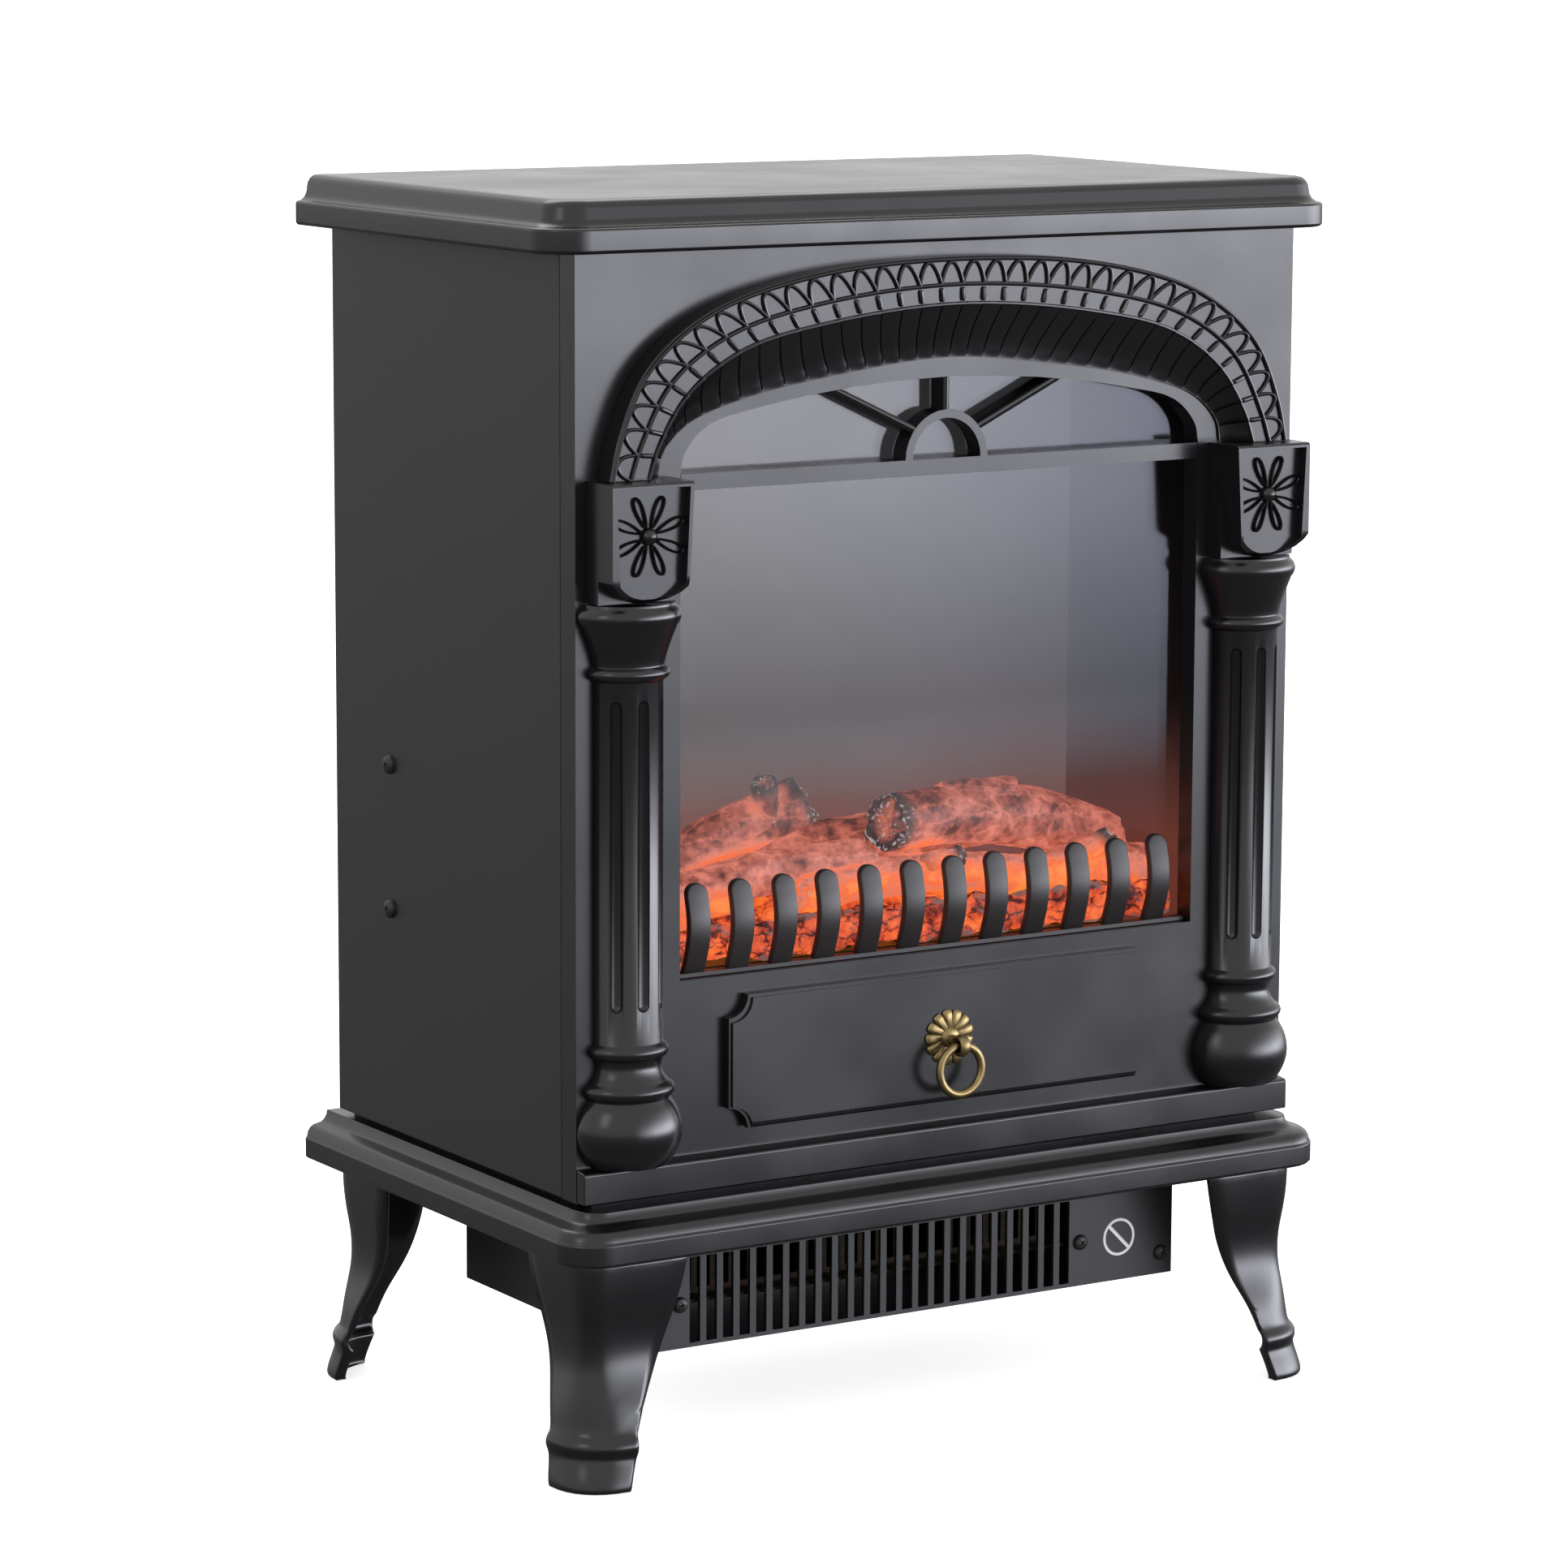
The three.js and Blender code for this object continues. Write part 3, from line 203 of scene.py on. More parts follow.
# %% Floor
bpy.ops.object.select_all(action="DESELECT")
bpy.ops.mesh.primitive_plane_add(size=240, location=(0, 0, -0.0005))
floor = bpy.context.object
floor.name = "pale_floor"
floor.visible_glossy = False
pale = bpy.data.materials.new("pale_floor_paint")
pale.use_nodes = True
tree = pale.node_tree
shader = tree.nodes["Principled BSDF"]
place = node(tree, "ShaderNodeTexCoord").outputs["Object"]
mottle = node(tree, "ShaderNodeTexNoise", {"Scale": 4.0}, Vector=place)
tree.links.new(ramp(tree, mottle.outputs["Fac"], (0.3, grey(0.90)), (0.7, grey(0.92))),
               shader.inputs["Base Color"])
shader.inputs["Roughness"].default_value = 0.9
shader.inputs["Emission Color"].default_value = grey(1.0)
shader.inputs["Emission Strength"].default_value = 0.7
floor.data.materials.append(pale)
print("floor and dome ready")

# %% [markdown]
# ## Finishes
# A finish starts as a Principled shader and the piece's own coordinates. A pattern's scale is worked out
# from a real size: a noise of scale 1/size has features of that size.

# %% Start a finish


def start_finish(name):
    finish = bpy.data.materials.new(name)
    finish.use_nodes = True
    tree = finish.node_tree
    tree.nodes.clear()
    shader = node(tree, "ShaderNodeBsdfPrincipled")
    output = node(tree, "ShaderNodeOutputMaterial")
    tree.links.new(shader.outputs[0], output.inputs["Surface"])
    place = node(tree, "ShaderNodeTexCoord").outputs["Object"]
    return finish, tree, shader, place


# %% Satin black ABS moulding
# Injection-moulded ABS: a fine spark-eroded grain breaks the light into a soft sheen, and broad faces
# show a faint waviness where the plastic shrank. The grain is drawn at 0.7 mm, coarser than it is.


def moulded_plastic(name, colour, rough, grain=0.7, bump=0.05):
    finish, tree, shader, place = start_finish(name)
    fine = node(tree, "ShaderNodeTexNoise", {"Scale": 1 / (grain * MM), "Detail": 3.0}, Vector=place)
    broad = node(tree, "ShaderNodeTexNoise", {"Scale": 1 / (60 * MM), "Detail": 4.0}, Vector=place)
    dark, light = paint(colour), [min(1, c * 1.18) for c in paint(colour)]
    tone = ramp(tree, broad.outputs["Fac"], (0.3, dark), (0.75, tuple(light)))
    sheen = ramp(tree, broad.outputs["Fac"], (0.3, grey(rough - 0.04)), (0.7, grey(rough + 0.05)))
    relief = node(tree, "ShaderNodeBump", {"Strength": bump, "Distance": 0.2 * MM}, Height=fine.outputs["Fac"])
    tree.links.new(tone, shader.inputs["Base Color"])
    tree.links.new(sheen, shader.inputs["Roughness"])
    tree.links.new(relief.outputs["Normal"], shader.inputs["Normal"])
    shader.inputs["IOR"].default_value = 1.52
    return finish


satin_abs = moulded_plastic("satin_black_abs", "#0a0a0c", 0.25)
dark_abs = moulded_plastic("textured_dark_abs", "#0b0b0c", 0.5, grain=0.9)
fender_abs = moulded_plastic("fender_black_abs", "#181314", 0.44)
print("made", satin_abs.name, "and", dark_abs.name)

# %% Powder-coated steel sheet
# Baked polyester powder on folded steel: tighter and flatter than the plastic, with the faint
# orange peel that powder leaves, drawn here at 1.2 mm.


def powder_coat(name, colour, rough):
    finish, tree, shader, place = start_finish(name)
    peel = node(tree, "ShaderNodeTexNoise", {"Scale": 1 / (1.2 * MM), "Detail": 2.0}, Vector=place)
    cloud = node(tree, "ShaderNodeTexNoise", {"Scale": 1 / (90 * MM), "Detail": 3.0}, Vector=place)
    base = paint(colour)
    tone = ramp(tree, cloud.outputs["Fac"], (0.35, base), (0.7, tuple(min(1, c * 1.1) for c in base)))
    relief = node(tree, "ShaderNodeBump", {"Strength": 0.04, "Distance": 0.3 * MM}, Height=peel.outputs["Fac"])
    tree.links.new(tone, shader.inputs["Base Color"])
    tree.links.new(relief.outputs["Normal"], shader.inputs["Normal"])
    shader.inputs["Roughness"].default_value = rough
    shader.inputs["IOR"].default_value = 1.5
    return finish


powder_black = powder_coat("black_powder_coat", "#0f0f10", 0.42)

# %% Aged brass
# Cast brass, lacquered after its hollows were darkened: bright where fingers rub it, brown in the
# corners between the petals. Ambient occlusion finds those corners.
aged_brass, tree, shader, place = start_finish("aged_brass")
hollow = node(tree, "ShaderNodeAmbientOcclusion", {"Distance": 2.5 * MM, "samples": 8})
blotch = node(tree, "ShaderNodeTexNoise", {"Scale": 1 / (3 * MM), "Detail": 4.0}, Vector=place)
brown = ramp(tree, hollow.outputs["AO"], (0.35, paint("#2e2412")), (0.85, paint("#94815a")))
mixed = node(tree, "ShaderNodeMix", {"data_type": "RGBA", "blend_type": "MULTIPLY", "Factor": 0.35})
tree.links.new(brown, mixed.inputs[6])
tree.links.new(ramp(tree, blotch.outputs["Fac"], (0.35, grey(0.6)), (0.65, grey(1.0))), mixed.inputs[7])
tree.links.new(mixed.outputs[2], shader.inputs["Base Color"])
tree.links.new(ramp(tree, blotch.outputs["Fac"], (0.3, grey(0.36)), (0.7, grey(0.5))), shader.inputs["Roughness"])
shader.inputs["Metallic"].default_value = 1.0
print("made", aged_brass.name)

# %% Plain zinc-plated steel, for what is inside
# Rolled sheet and turned parts under a thin zinc plate: grey, half bright, slightly blotched.
zinc_steel, tree, shader, place = start_finish("zinc_plated_steel")
spangle = node(tree, "ShaderNodeTexVoronoi", {"Scale": 1 / (5 * MM)}, Vector=place)
tree.links.new(ramp(tree, spangle.outputs["Distance"], (0.2, paint("#8d8f92")), (0.9, paint("#a6a8ab"))),
               shader.inputs["Base Color"])
tree.links.new(ramp(tree, spangle.outputs["Distance"], (0.2, grey(0.3)), (0.9, grey(0.42))),
               shader.inputs["Roughness"])
shader.inputs["Metallic"].default_value = 1.0

# %% Small finishes for the inside: fins, boards, screen and smoked mirror
# Oxidised bronze strip for the fins.
bronze_fin, tree, shader, place = start_finish("oxidised_bronze_fin")
stain = node(tree, "ShaderNodeTexNoise", {"Scale": 1 / (4 * MM), "Detail": 3.0}, Vector=place)
tree.links.new(ramp(tree, stain.outputs["Fac"], (0.35, paint("#1d1712")), (0.7, paint("#2e251b"))),
               shader.inputs["Base Color"])
shader.inputs["Metallic"].default_value = 0.9
shader.inputs["Roughness"].default_value = 0.42

# Solder-masked glass-fibre board.
green_board, tree, shader, place = start_finish("solder_masked_board")
tracks = node(tree, "ShaderNodeTexBrick", {"Scale": 1 / (16 * MM)}, Vector=place)
tracks.inputs["Color1"].default_value = paint("#1f4a2c")
tracks.inputs["Color2"].default_value = paint("#245633")
tracks.inputs["Mortar"].default_value = paint("#3a7a4c")
tree.links.new(tracks.outputs["Color"], shader.inputs["Base Color"])
shader.inputs["Roughness"].default_value = 0.4

# Matt translucent acrylic screen.
matt_screen, tree, shader, place = start_finish("matt_acrylic_screen")
haze = node(tree, "ShaderNodeTexNoise", {"Scale": 1 / (40 * MM)}, Vector=place)
tree.links.new(ramp(tree, haze.outputs["Fac"], (0.3, paint("#57514f")), (0.7, paint("#6b6462"))),
               shader.inputs["Base Color"])
shader.inputs["Roughness"].default_value = 0.7

# %% Painted flame glow inside the fire box
# The flame light plays on the smoked mirror and on the box's black walls as a low warm haze. It is painted
# on the surfaces themselves as an emitted glow that noise breaks up and that fades with height.


def paint_flame_glow(tree, shader, place, low, high, *stops):
    wisp = node(tree, "ShaderNodeTexNoise", {"Scale": 1 / (60 * MM), "Detail": 3.0}, Vector=place)
    height = node(tree, "ShaderNodeSeparateXYZ", Vector=place).outputs["Z"]
    lifted = node(tree, "ShaderNodeMath", {"operation": "MULTIPLY_ADD"})
    tree.links.new(wisp.outputs["Fac"], lifted.inputs[0])
    lifted.inputs[1].default_value = -0.08
    tree.links.new(height, lifted.inputs[2])
    fade = node(tree, "ShaderNodeMapRange", {"From Min": low, "From Max": high}, Value=lifted.outputs[0])
    tree.links.new(ramp(tree, fade.outputs["Result"], *stops), shader.inputs["Emission Color"])
    shader.inputs["Emission Strength"].default_value = 1.0


# Smoked acrylic behind the logs: its faint silvering is dulled by dust, so it only carries the painted flame glow.
smoked_mirror, tree, shader, place = start_finish("smoked_half_mirror")
tarnish = node(tree, "ShaderNodeTexNoise", {"Scale": 1 / (70 * MM)}, Vector=place)
tree.links.new(ramp(tree, tarnish.outputs["Fac"], (0.3, paint("#18171a")), (0.7, paint("#1e1d20"))),
               shader.inputs["Base Color"])
shader.inputs["Roughness"].default_value = 0.5
paint_flame_glow(tree, shader, place, 0.215, 0.45, (0.0, paint("#744844")), (0.35, paint("#6a5c5c")),
          (0.7, paint("#68666a")), (1.0, paint("#55555c")))

# The same painted flame glow on matt black sheet steel, for the walls of the box.
lit_liner, tree, shader, place = start_finish("lit_black_liner")
soot = node(tree, "ShaderNodeTexNoise", {"Scale": 1 / (30 * MM), "Detail": 3.0}, Vector=place)
tree.links.new(ramp(tree, soot.outputs["Fac"], (0.3, paint("#121011")), (0.7, paint("#1a1718"))),
               shader.inputs["Base Color"])
shader.inputs["Roughness"].default_value = 0.6
paint_flame_glow(tree, shader, place, 0.215, 0.40, (0.0, paint("#5e3028")), (0.4, paint("#2c1c1a")),
          (0.75, paint("#141011")), (1.0, paint("#050404")))
print("inside finishes ready")

# %% Window pane
# Coated float glass mirrors about a tenth of the studio and lets the rest through. A metallic shader with
# a low alpha does both. Its mirrored light is painted to fade towards the foot, so the coals show clearly,
# and to darken towards the right, and a little roughness stands for the film of dust that blurs the mirrored light.
pane_glass, tree, shader, place = start_finish("coated_pane_glass")
height = node(tree, "ShaderNodeSeparateXYZ", Vector=place).outputs["Z"]
share = node(tree, "ShaderNodeMapRange", {"From Min": 0.225, "From Max": 0.33}, Value=height)
smear = node(tree, "ShaderNodeTexNoise", {"Scale": 1 / (50 * MM), "Detail": 3.0}, Vector=place)
# Painted reflection: across the pane the mirrored colour is drawn paler at the left and darker at the right.
sideways = node(tree, "ShaderNodeSeparateXYZ", Vector=place).outputs["X"]
across_pane = node(tree, "ShaderNodeMapRange", {"From Min": -0.15, "From Max": 0.15}, Value=sideways)
painted_reflection_tint = ramp(tree, across_pane.outputs["Result"], (0.0, paint("#a2a19f")), (0.45, paint("#98989a")),
            (1.0, paint("#72747c")))
# Painted reflection: the mirrored colour also dims from the foot upwards.
climb = node(tree, "ShaderNodeMapRange", {"From Min": 0.225, "From Max": 0.50}, Value=height)
painted_reflection_fade = ramp(tree, climb.outputs["Result"], (0.0, grey(0.95)), (0.15, grey(0.95)), (0.4, grey(0.36)), (1.0, grey(0.20)))
faded_reflection = node(tree, "ShaderNodeMix", {"data_type": "RGBA", "blend_type": "MULTIPLY", "Factor": 1.0})
tree.links.new(painted_reflection_tint, faded_reflection.inputs[6])
tree.links.new(painted_reflection_fade, faded_reflection.inputs[7])
blend = node(tree, "ShaderNodeMix", {"data_type": "RGBA", "blend_type": "MULTIPLY", "Factor": 1.0})
tree.links.new(faded_reflection.outputs[2], blend.inputs[6])
tree.links.new(ramp(tree, smear.outputs["Fac"], (0.3, grey(0.94)), (0.7, grey(1.0))), blend.inputs[7])
tree.links.new(blend.outputs[2], shader.inputs["Base Color"])
# Painted reflection: the alpha, and with it the mirrored share, is near nothing at the foot and rises upwards.
tree.links.new(ramp(tree, share.outputs["Result"], (0.0, grey(0.02)), (0.4, grey(0.03)), (0.65, grey(0.09)),
                    (1.0, grey(0.58))), shader.inputs["Alpha"])
shader.inputs["Metallic"].default_value = 1.0
shader.inputs["Roughness"].default_value = 0.10

# %% Give each CAD node its finish
FINISHES = {
    "satin_black": satin_abs,
    "powder_black": powder_black,
    "dark_plastic": dark_abs,
    "antique_brass": aged_brass,
    "plain_steel": zinc_steel,
    "element_bronze": bronze_fin,
    "circuit_board": green_board,
    "screen_white": matt_screen,
    "smoked_mirror": smoked_mirror,
    "window_glass": pane_glass,
}
slot_of = {part["node"]: part["material_slot"] for part in frame["record"]["subparts"]}
body_of = {n: b for b, names in frame["record"]["behaviour"]["bodies"].items() for n in names}
for name, piece in nodes.items():
    finish = FINISHES.get(slot_of[name])
    if finish:
        piece.data.materials.clear()
        piece.data.materials.append(finish)
nodes["firebox_liner"].data.materials[0] = lit_liner
print("finishes on CAD nodes:", sum(slot_of[n] in FINISHES for n in nodes))

# %% [markdown]
# ## Small tools for modelling
# Blender's operators work on what is selected, and the imported nodes start out selected, so each tool
# begins by clearing the selection. A finished piece is placed on its body, and the nodes it stands for
# are hidden.

# %% Modelling tools


def clear_selection():
    if bpy.context.object and bpy.context.object.mode != "OBJECT":
        bpy.ops.object.mode_set(mode="OBJECT")
    bpy.ops.object.select_all(action="DESELECT")


def pick(*pieces):
    clear_selection()
    for piece in pieces:
        piece.select_set(True)
    bpy.context.view_layer.objects.active = pieces[0]
    return pieces[0]


def select_where(piece, kind, test):
    """In edit mode, selects only the vertices, edges or faces that pass a test of their middle point."""
    bpy.ops.mesh.select_mode(type=kind)
    bpy.ops.mesh.select_all(action="DESELECT")
    shape = bmesh.from_edit_mesh(piece.data)
    items = {"VERT": shape.verts, "EDGE": shape.edges, "FACE": shape.faces}[kind]
    for item in items:
        if kind == "VERT":
            middle = item.co
        else:
            middle = sum((v.co for v in item.verts), Vector()) / len(item.verts)
        if test(middle, item):
            item.select_set(True)
    shape.select_flush_mode()
    bmesh.update_edit_mesh(piece.data)


def settle(piece):
    """Bakes place, turn and scale into the mesh, so that the object sits at the origin."""
    pick(piece)
    bpy.ops.object.transform_apply(location=True, rotation=True, scale=True)


def add_modifier(piece, kind, **settings):
    pick(piece)
    made = piece.modifiers.new(kind.lower(), kind)
    for key, value in settings.items():
        setattr(made, key, value)
    bpy.ops.object.modifier_apply(modifier=made.name)


def smooth(piece, degrees=35):
    pick(piece)
    bpy.ops.object.shade_smooth_by_angle(angle=math.radians(degrees))


def weigh_normals(piece):
    """Lets the broad faces decide the shading, so that a narrow bevel doesn't bend their light."""
    add_modifier(piece, "WEIGHTED_NORMAL", keep_sharp=True, weight=90)


def tidy_normals(piece, gap=0.01):
    pick(piece)
    bpy.ops.object.mode_set(mode="EDIT")
    bpy.ops.mesh.select_all(action="SELECT")
    bpy.ops.mesh.remove_doubles(threshold=gap * MM)
    bpy.ops.mesh.normals_make_consistent(inside=False)
    bpy.ops.object.mode_set(mode="OBJECT")


def hand_over(piece, name, finish, slot, body, *stands_for):
    piece.name = name
    piece.data.materials.clear()
    piece.data.materials.append(finish)
    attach(piece, body)
    if stands_for:
        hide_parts(*stands_for)
    print(name, len(piece.data.polygons), "faces on", body)
    return piece


def copy_of(piece, name):
    twin = piece.copy()
    twin.data = piece.data.copy()
    twin.name = name
    bpy.context.scene.collection.objects.link(twin)
    return twin


def join_all(pieces):
    pick(*pieces)
    bpy.ops.object.join()
    return bpy.context.object


def box_of(low, high, name="box"):
    """A cube primitive sized between two corners given in the millimetre frame."""
    clear_selection()
    a, b = at(*low), at(*high)
    bpy.ops.mesh.primitive_cube_add(size=1, location=(a + b) / 2)
    piece = bpy.context.object
    piece.name = name
    piece.scale = [abs(v) for v in b - a]
    settle(piece)
    return piece


def cut_by(piece, *tools):
    for tool in tools:
        add_modifier(piece, "BOOLEAN", operation="DIFFERENCE", solver="EXACT", object=tool)
    clear_selection()
    for tool in tools:
        bpy.data.objects.remove(tool, do_unlink=True)


# %% [markdown]
# ## Softened edges on the moulded pieces
# No moulding has a perfectly sharp edge, and the thin bright line along a rounded edge is what makes
# black plastic readable. Each visible CAD node is copied, its loose triangles are merged into clean
# faces, and a narrow bevel rounds what is left. The copy then stands for the node.

# %% Round the edges of a copy


def soften(name, edge, angle=30, segments=2, finish=None, smooth_angle=40):
    twin = copy_of(nodes[name], name + "_soft")
    twin.parent = None
    pick(twin)
    bpy.ops.object.mode_set(mode="EDIT")
    bpy.ops.mesh.select_all(action="SELECT")
    bpy.ops.mesh.remove_doubles(threshold=0.02 * MM)
    bpy.ops.mesh.dissolve_limited(angle_limit=math.radians(1.5), delimit=set())
    bpy.ops.object.mode_set(mode="OBJECT")
    if edge:
        add_modifier(twin, "BEVEL", width=edge * MM, segments=segments, limit_method="ANGLE",
                     angle_limit=math.radians(angle), use_clamp_overlap=True)
    smooth(twin, smooth_angle)
    weigh_normals(twin)
    finish = finish or FINISHES[slot_of[name]]
    return hand_over(twin, name + "_soft", finish, slot_of[name], body_of[name], name)


SOFT_EDGES = {
    "top_slab": 0.5, "base_slab": 0.5, "plinth_moulding": 0.7, "front_surround": 0.6, "window_tracery": 0.7,
    "left_capital_block": 0.7, "right_capital_block": 0.7, "left_side_panel": 0.4, "right_side_panel": 0.4,
    "control_flap": 0.8, "outlet_grille": 0.25, "heater_housing": 0.4, "rear_panel": 0.25,
    "flame_switch_rocker": 0.4, "heat_switch_rocker": 0.4, "thermostat_knob": 0.3, "control_panel": 0.3,
    "flame_switch_body": 0.3, "heat_switch_body": 0.3, "cord_inlet": 0.3,
}
for name, edge in SOFT_EDGES.items():
    soften(name, edge)

# %% [markdown]
# ## Turned pieces from one outline
# Columns, screws, the rosette and its post are all turned shapes. As at a lathe, an outline is drawn first:
# one vertex is extruded from point to point. Spinning that outline about the upright axis makes the
# surface, and a half turn leaves a flat back that is then filled.

# %% Draw and spin an outline


def outline(points, name):
    """A chain of edges through (radius, height) points in millimetres, on the -X side of the Z axis."""
    clear_selection()
    bpy.ops.mesh.primitive_plane_add(size=MM, location=(0, 0, 0))
    piece = bpy.context.object
    piece.name = name
    bpy.ops.object.mode_set(mode="EDIT")
    bpy.ops.mesh.select_mode(type="VERT")
    bpy.ops.mesh.select_all(action="SELECT")
    bpy.ops.mesh.merge(type="CENTER")
    here = Vector((-points[0][0] * MM, 0, points[0][1] * MM))
    bpy.ops.transform.translate(value=here)
    for radius, height in points[1:]:
        there = Vector((-radius * MM, 0, height * MM))
        bpy.ops.mesh.extrude_region_move(TRANSFORM_OT_translate={"value": there - here})
        here = there
    bpy.ops.object.mode_set(mode="OBJECT")
    return piece


def turned(points, steps, name, angle=360):
    piece = outline(points, name)
    bpy.ops.object.mode_set(mode="EDIT")
    bpy.ops.mesh.select_all(action="SELECT")
    bpy.ops.mesh.spin(steps=steps, angle=math.radians(angle), center=(0, 0, 0), axis=(0, 0, -1))
    bpy.ops.mesh.select_all(action="SELECT")
    bpy.ops.mesh.remove_doubles(threshold=0.01 * MM)
    if angle < 360:
        select_where(piece, "EDGE", lambda middle, edge: edge.is_boundary)
        bpy.ops.mesh.edge_face_add()
    bpy.ops.mesh.select_all(action="SELECT")
    bpy.ops.mesh.normals_make_consistent(inside=False)
    bpy.ops.object.mode_set(mode="OBJECT")
    return piece


def swell(low, high, start, end, peak, steps=8, power=0.8):
    """Outline points of a bulge between two heights, fullest in the middle."""
    points = []
    for i in range(steps + 1):
        share = i / steps
        flat = start + (end - start) * share
        bulge = math.sin(math.pi * share) ** power if 0 < i < steps else 0
        points.append((flat + (peak - flat) * bulge, low + (high - low) * share))
    return points


# %% [markdown]
# ## Fluted half columns
# Each column is a half-round moulding copied from a turned table leg: a bun foot, two rings, a hollow
# neck, a fluted shaft and a bell under the block. The half turn is flattened a little in depth, then
# three round-ended grooves are cut out of the shaft with stretched spheres.

# %% Column outline and flutes
hollow_neck = [(15.7 + 3.1 * (i / 6) ** 2, 189 - 7.4 * i / 6) for i in range(6, -1, -1)]
bell = [(17.2 + 5.6 * (i / 7) ** 1.25, 367.2 + 16.4 * i / 7) for i in range(8)]
COLUMN_OUTLINE = [
    (0, 143.5), (18.2, 143.5), *swell(144.2, 173.6, 18.9, 19.4, 25.3, 14, 0.75),
    *swell(174.4, 181.4, 19.6, 18.9, 21.9, 8, 0.7), *hollow_neck, (16.2, 191.6),
    *swell(192.3, 198.8, 16.9, 16.9, 19.2, 8, 0.7), (16.6, 199.2), (16.6, 359.8),
    *swell(360.2, 366.3, 17.2, 17.2, 19.7, 8, 0.7), (17.2, 366.8), *bell,
    *swell(384.2, 392.6, 22.9, 22.2, 24.8, 9, 0.7), (22, 393.2), (22, 394), (0, 394),
]


def flute_cutter(angle):
    """A sphere whose upper half is pulled up makes a round-ended rod."""
    clear_selection()
    reach = 17.2
    spot = (reach * MM * math.sin(angle), -reach * MM * math.cos(angle), 217 * MM)
    bpy.ops.mesh.primitive_uv_sphere_add(segments=20, ring_count=10, radius=3.1 * MM, location=spot)
    rod = bpy.context.object
    settle(rod)
    bpy.ops.object.mode_set(mode="EDIT")
    select_where(rod, "VERT", lambda co, v: co.z > 217.2 * MM)
    bpy.ops.transform.translate(value=(0, 0, 132 * MM))
    bpy.ops.object.mode_set(mode="OBJECT")
    return rod


column = turned(COLUMN_OUTLINE, 30, "column", 180)
cut_by(column, *[flute_cutter(math.radians(a)) for a in (-44, 0, 44)])
pick(column)
bpy.ops.object.mode_set(mode="EDIT")
bpy.ops.mesh.select_all(action="SELECT")
bpy.ops.transform.resize(value=(1, 0.9, 1), center_override=(0, 0, 0))
bpy.ops.object.mode_set(mode="OBJECT")
add_modifier(column, "BEVEL", width=0.35 * MM, segments=2, limit_method="ANGLE", angle_limit=math.radians(50))
smooth(column, 40)
for side, name in ((-1, "left_column"), (1, "right_column")):
    twin = copy_of(column, name + "_turned")
    twin.location = at(side * 167, -0.3, 0)
    settle(twin)
    hand_over(twin, name + "_turned", satin_abs, "satin_black", body_of[name], name)
bpy.data.objects.remove(column, do_unlink=True)

# %% [markdown]
# ## The arch moulding
# Over the window runs a wide moulding: a flat band with two bead lines, a row of little pointed arches,
# a row of short ribs, and then a deep hollow with a groove for every rib. It would be hard to model in
# place, so it is thought of as a straight strip. Four lines along the arch say where each part of the
# strip comes to lie, and every vertex is moved from the strip onto the arch.

# %% Lines of the arch
ARCH_LINES = {
    "outer": [(181.5, 447.9), (177, 467), (163.5, 495), (133, 518.4), (80, 533.6), (0, 539)],
    "middle": [(171.5, 447.9), (166.5, 462), (151, 489), (122, 508.5), (74, 520.8), (0, 526.8)],
    "ridge": [(162, 447.9), (157.5, 461), (142.5, 483.5), (115, 501.5), (70, 512), (0, 518)],
    "soffit": [(151, 447.9), (149, 457.5), (137, 469.5), (108, 479.5), (58, 488), (0, 493.3)],
}
ARCH_PITCHES = 36
PROUD = 11.5


def along(points, share):
    """A smooth curve through points, by the centripetal Catmull-Rom rule, at a share from 0 to 1."""
    spots = [Vector((-x, z)) for x, z in points] + [Vector((x, z)) for x, z in points[-2::-1]]
    reach = share * (len(spots) - 1)
    i = min(int(reach), len(spots) - 2)
    t = reach - i
    b, c = spots[i], spots[i + 1]
    a = spots[i - 1] if i else 2 * b - c
    d = spots[i + 2] if i + 2 < len(spots) else 2 * c - b
    ab, bc, cd = (math.sqrt((q - p).length) for p, q in ((a, b), (b, c), (c, d)))
    slope_b = ((b - a) / ab - (c - a) / (ab + bc) + (c - b) / bc) * bc
    slope_c = ((c - b) / bc - (d - b) / (bc + cd) + (d - c) / cd) * bc
    return (
        b * (2 * t ** 3 - 3 * t ** 2 + 1) + slope_b * (t ** 3 - 2 * t ** 2 + t)
        + c * (3 * t ** 2 - 2 * t ** 3) + slope_c * (t ** 3 - t ** 2)
    )


FINE = 720
middle_line = [along(ARCH_LINES["middle"], i / FINE) for i in range(FINE + 1)]
lengths = [0.0]
for a, b in zip(middle_line, middle_line[1:]):
    lengths.append(lengths[-1] + (b - a).length)


def even_share(pitch):
    """The curve's share at so many equal steps along the middle line."""
    goal = max(0, min(1, pitch / ARCH_PITCHES)) * lengths[-1]
    i = next((k for k in range(1, FINE + 1) if lengths[k] >= goal), FINE)
    return (i - 1 + (goal - lengths[i - 1]) / (lengths[i] - lengths[i - 1])) / FINE


BANDS = ["outer", "middle", "ridge", "soffit"]


def on_arch(pitch, band, lift):
    """Strip to arch: steps along, 0 outer edge to 3 window edge, and millimetres proud of the surface."""
    share = even_share(pitch)
    k = min(int(band), 2)
    part = band - k
    a = along(ARCH_LINES[BANDS[k]], share)
    b = along(ARCH_LINES[BANDS[k + 1]], share)
    spot = a.lerp(b, part)
    depth = -PROUD if k < 2 else -PROUD + (PROUD - 1.2) * math.sin(part * math.pi / 2)
    if k < 2:
        return at(spot.x, depth - lift, spot.y)
    inward = (a - b).normalized() * lift * math.cos(part * math.pi / 2)
    return at(spot.x - inward.x, depth - lift * math.sin(part * math.pi / 2), spot.y - inward.y)


print("the arch's middle line is", round(lengths[-1]), "mm long, one step is",
      round(lengths[-1] / ARCH_PITCHES, 2), "mm")

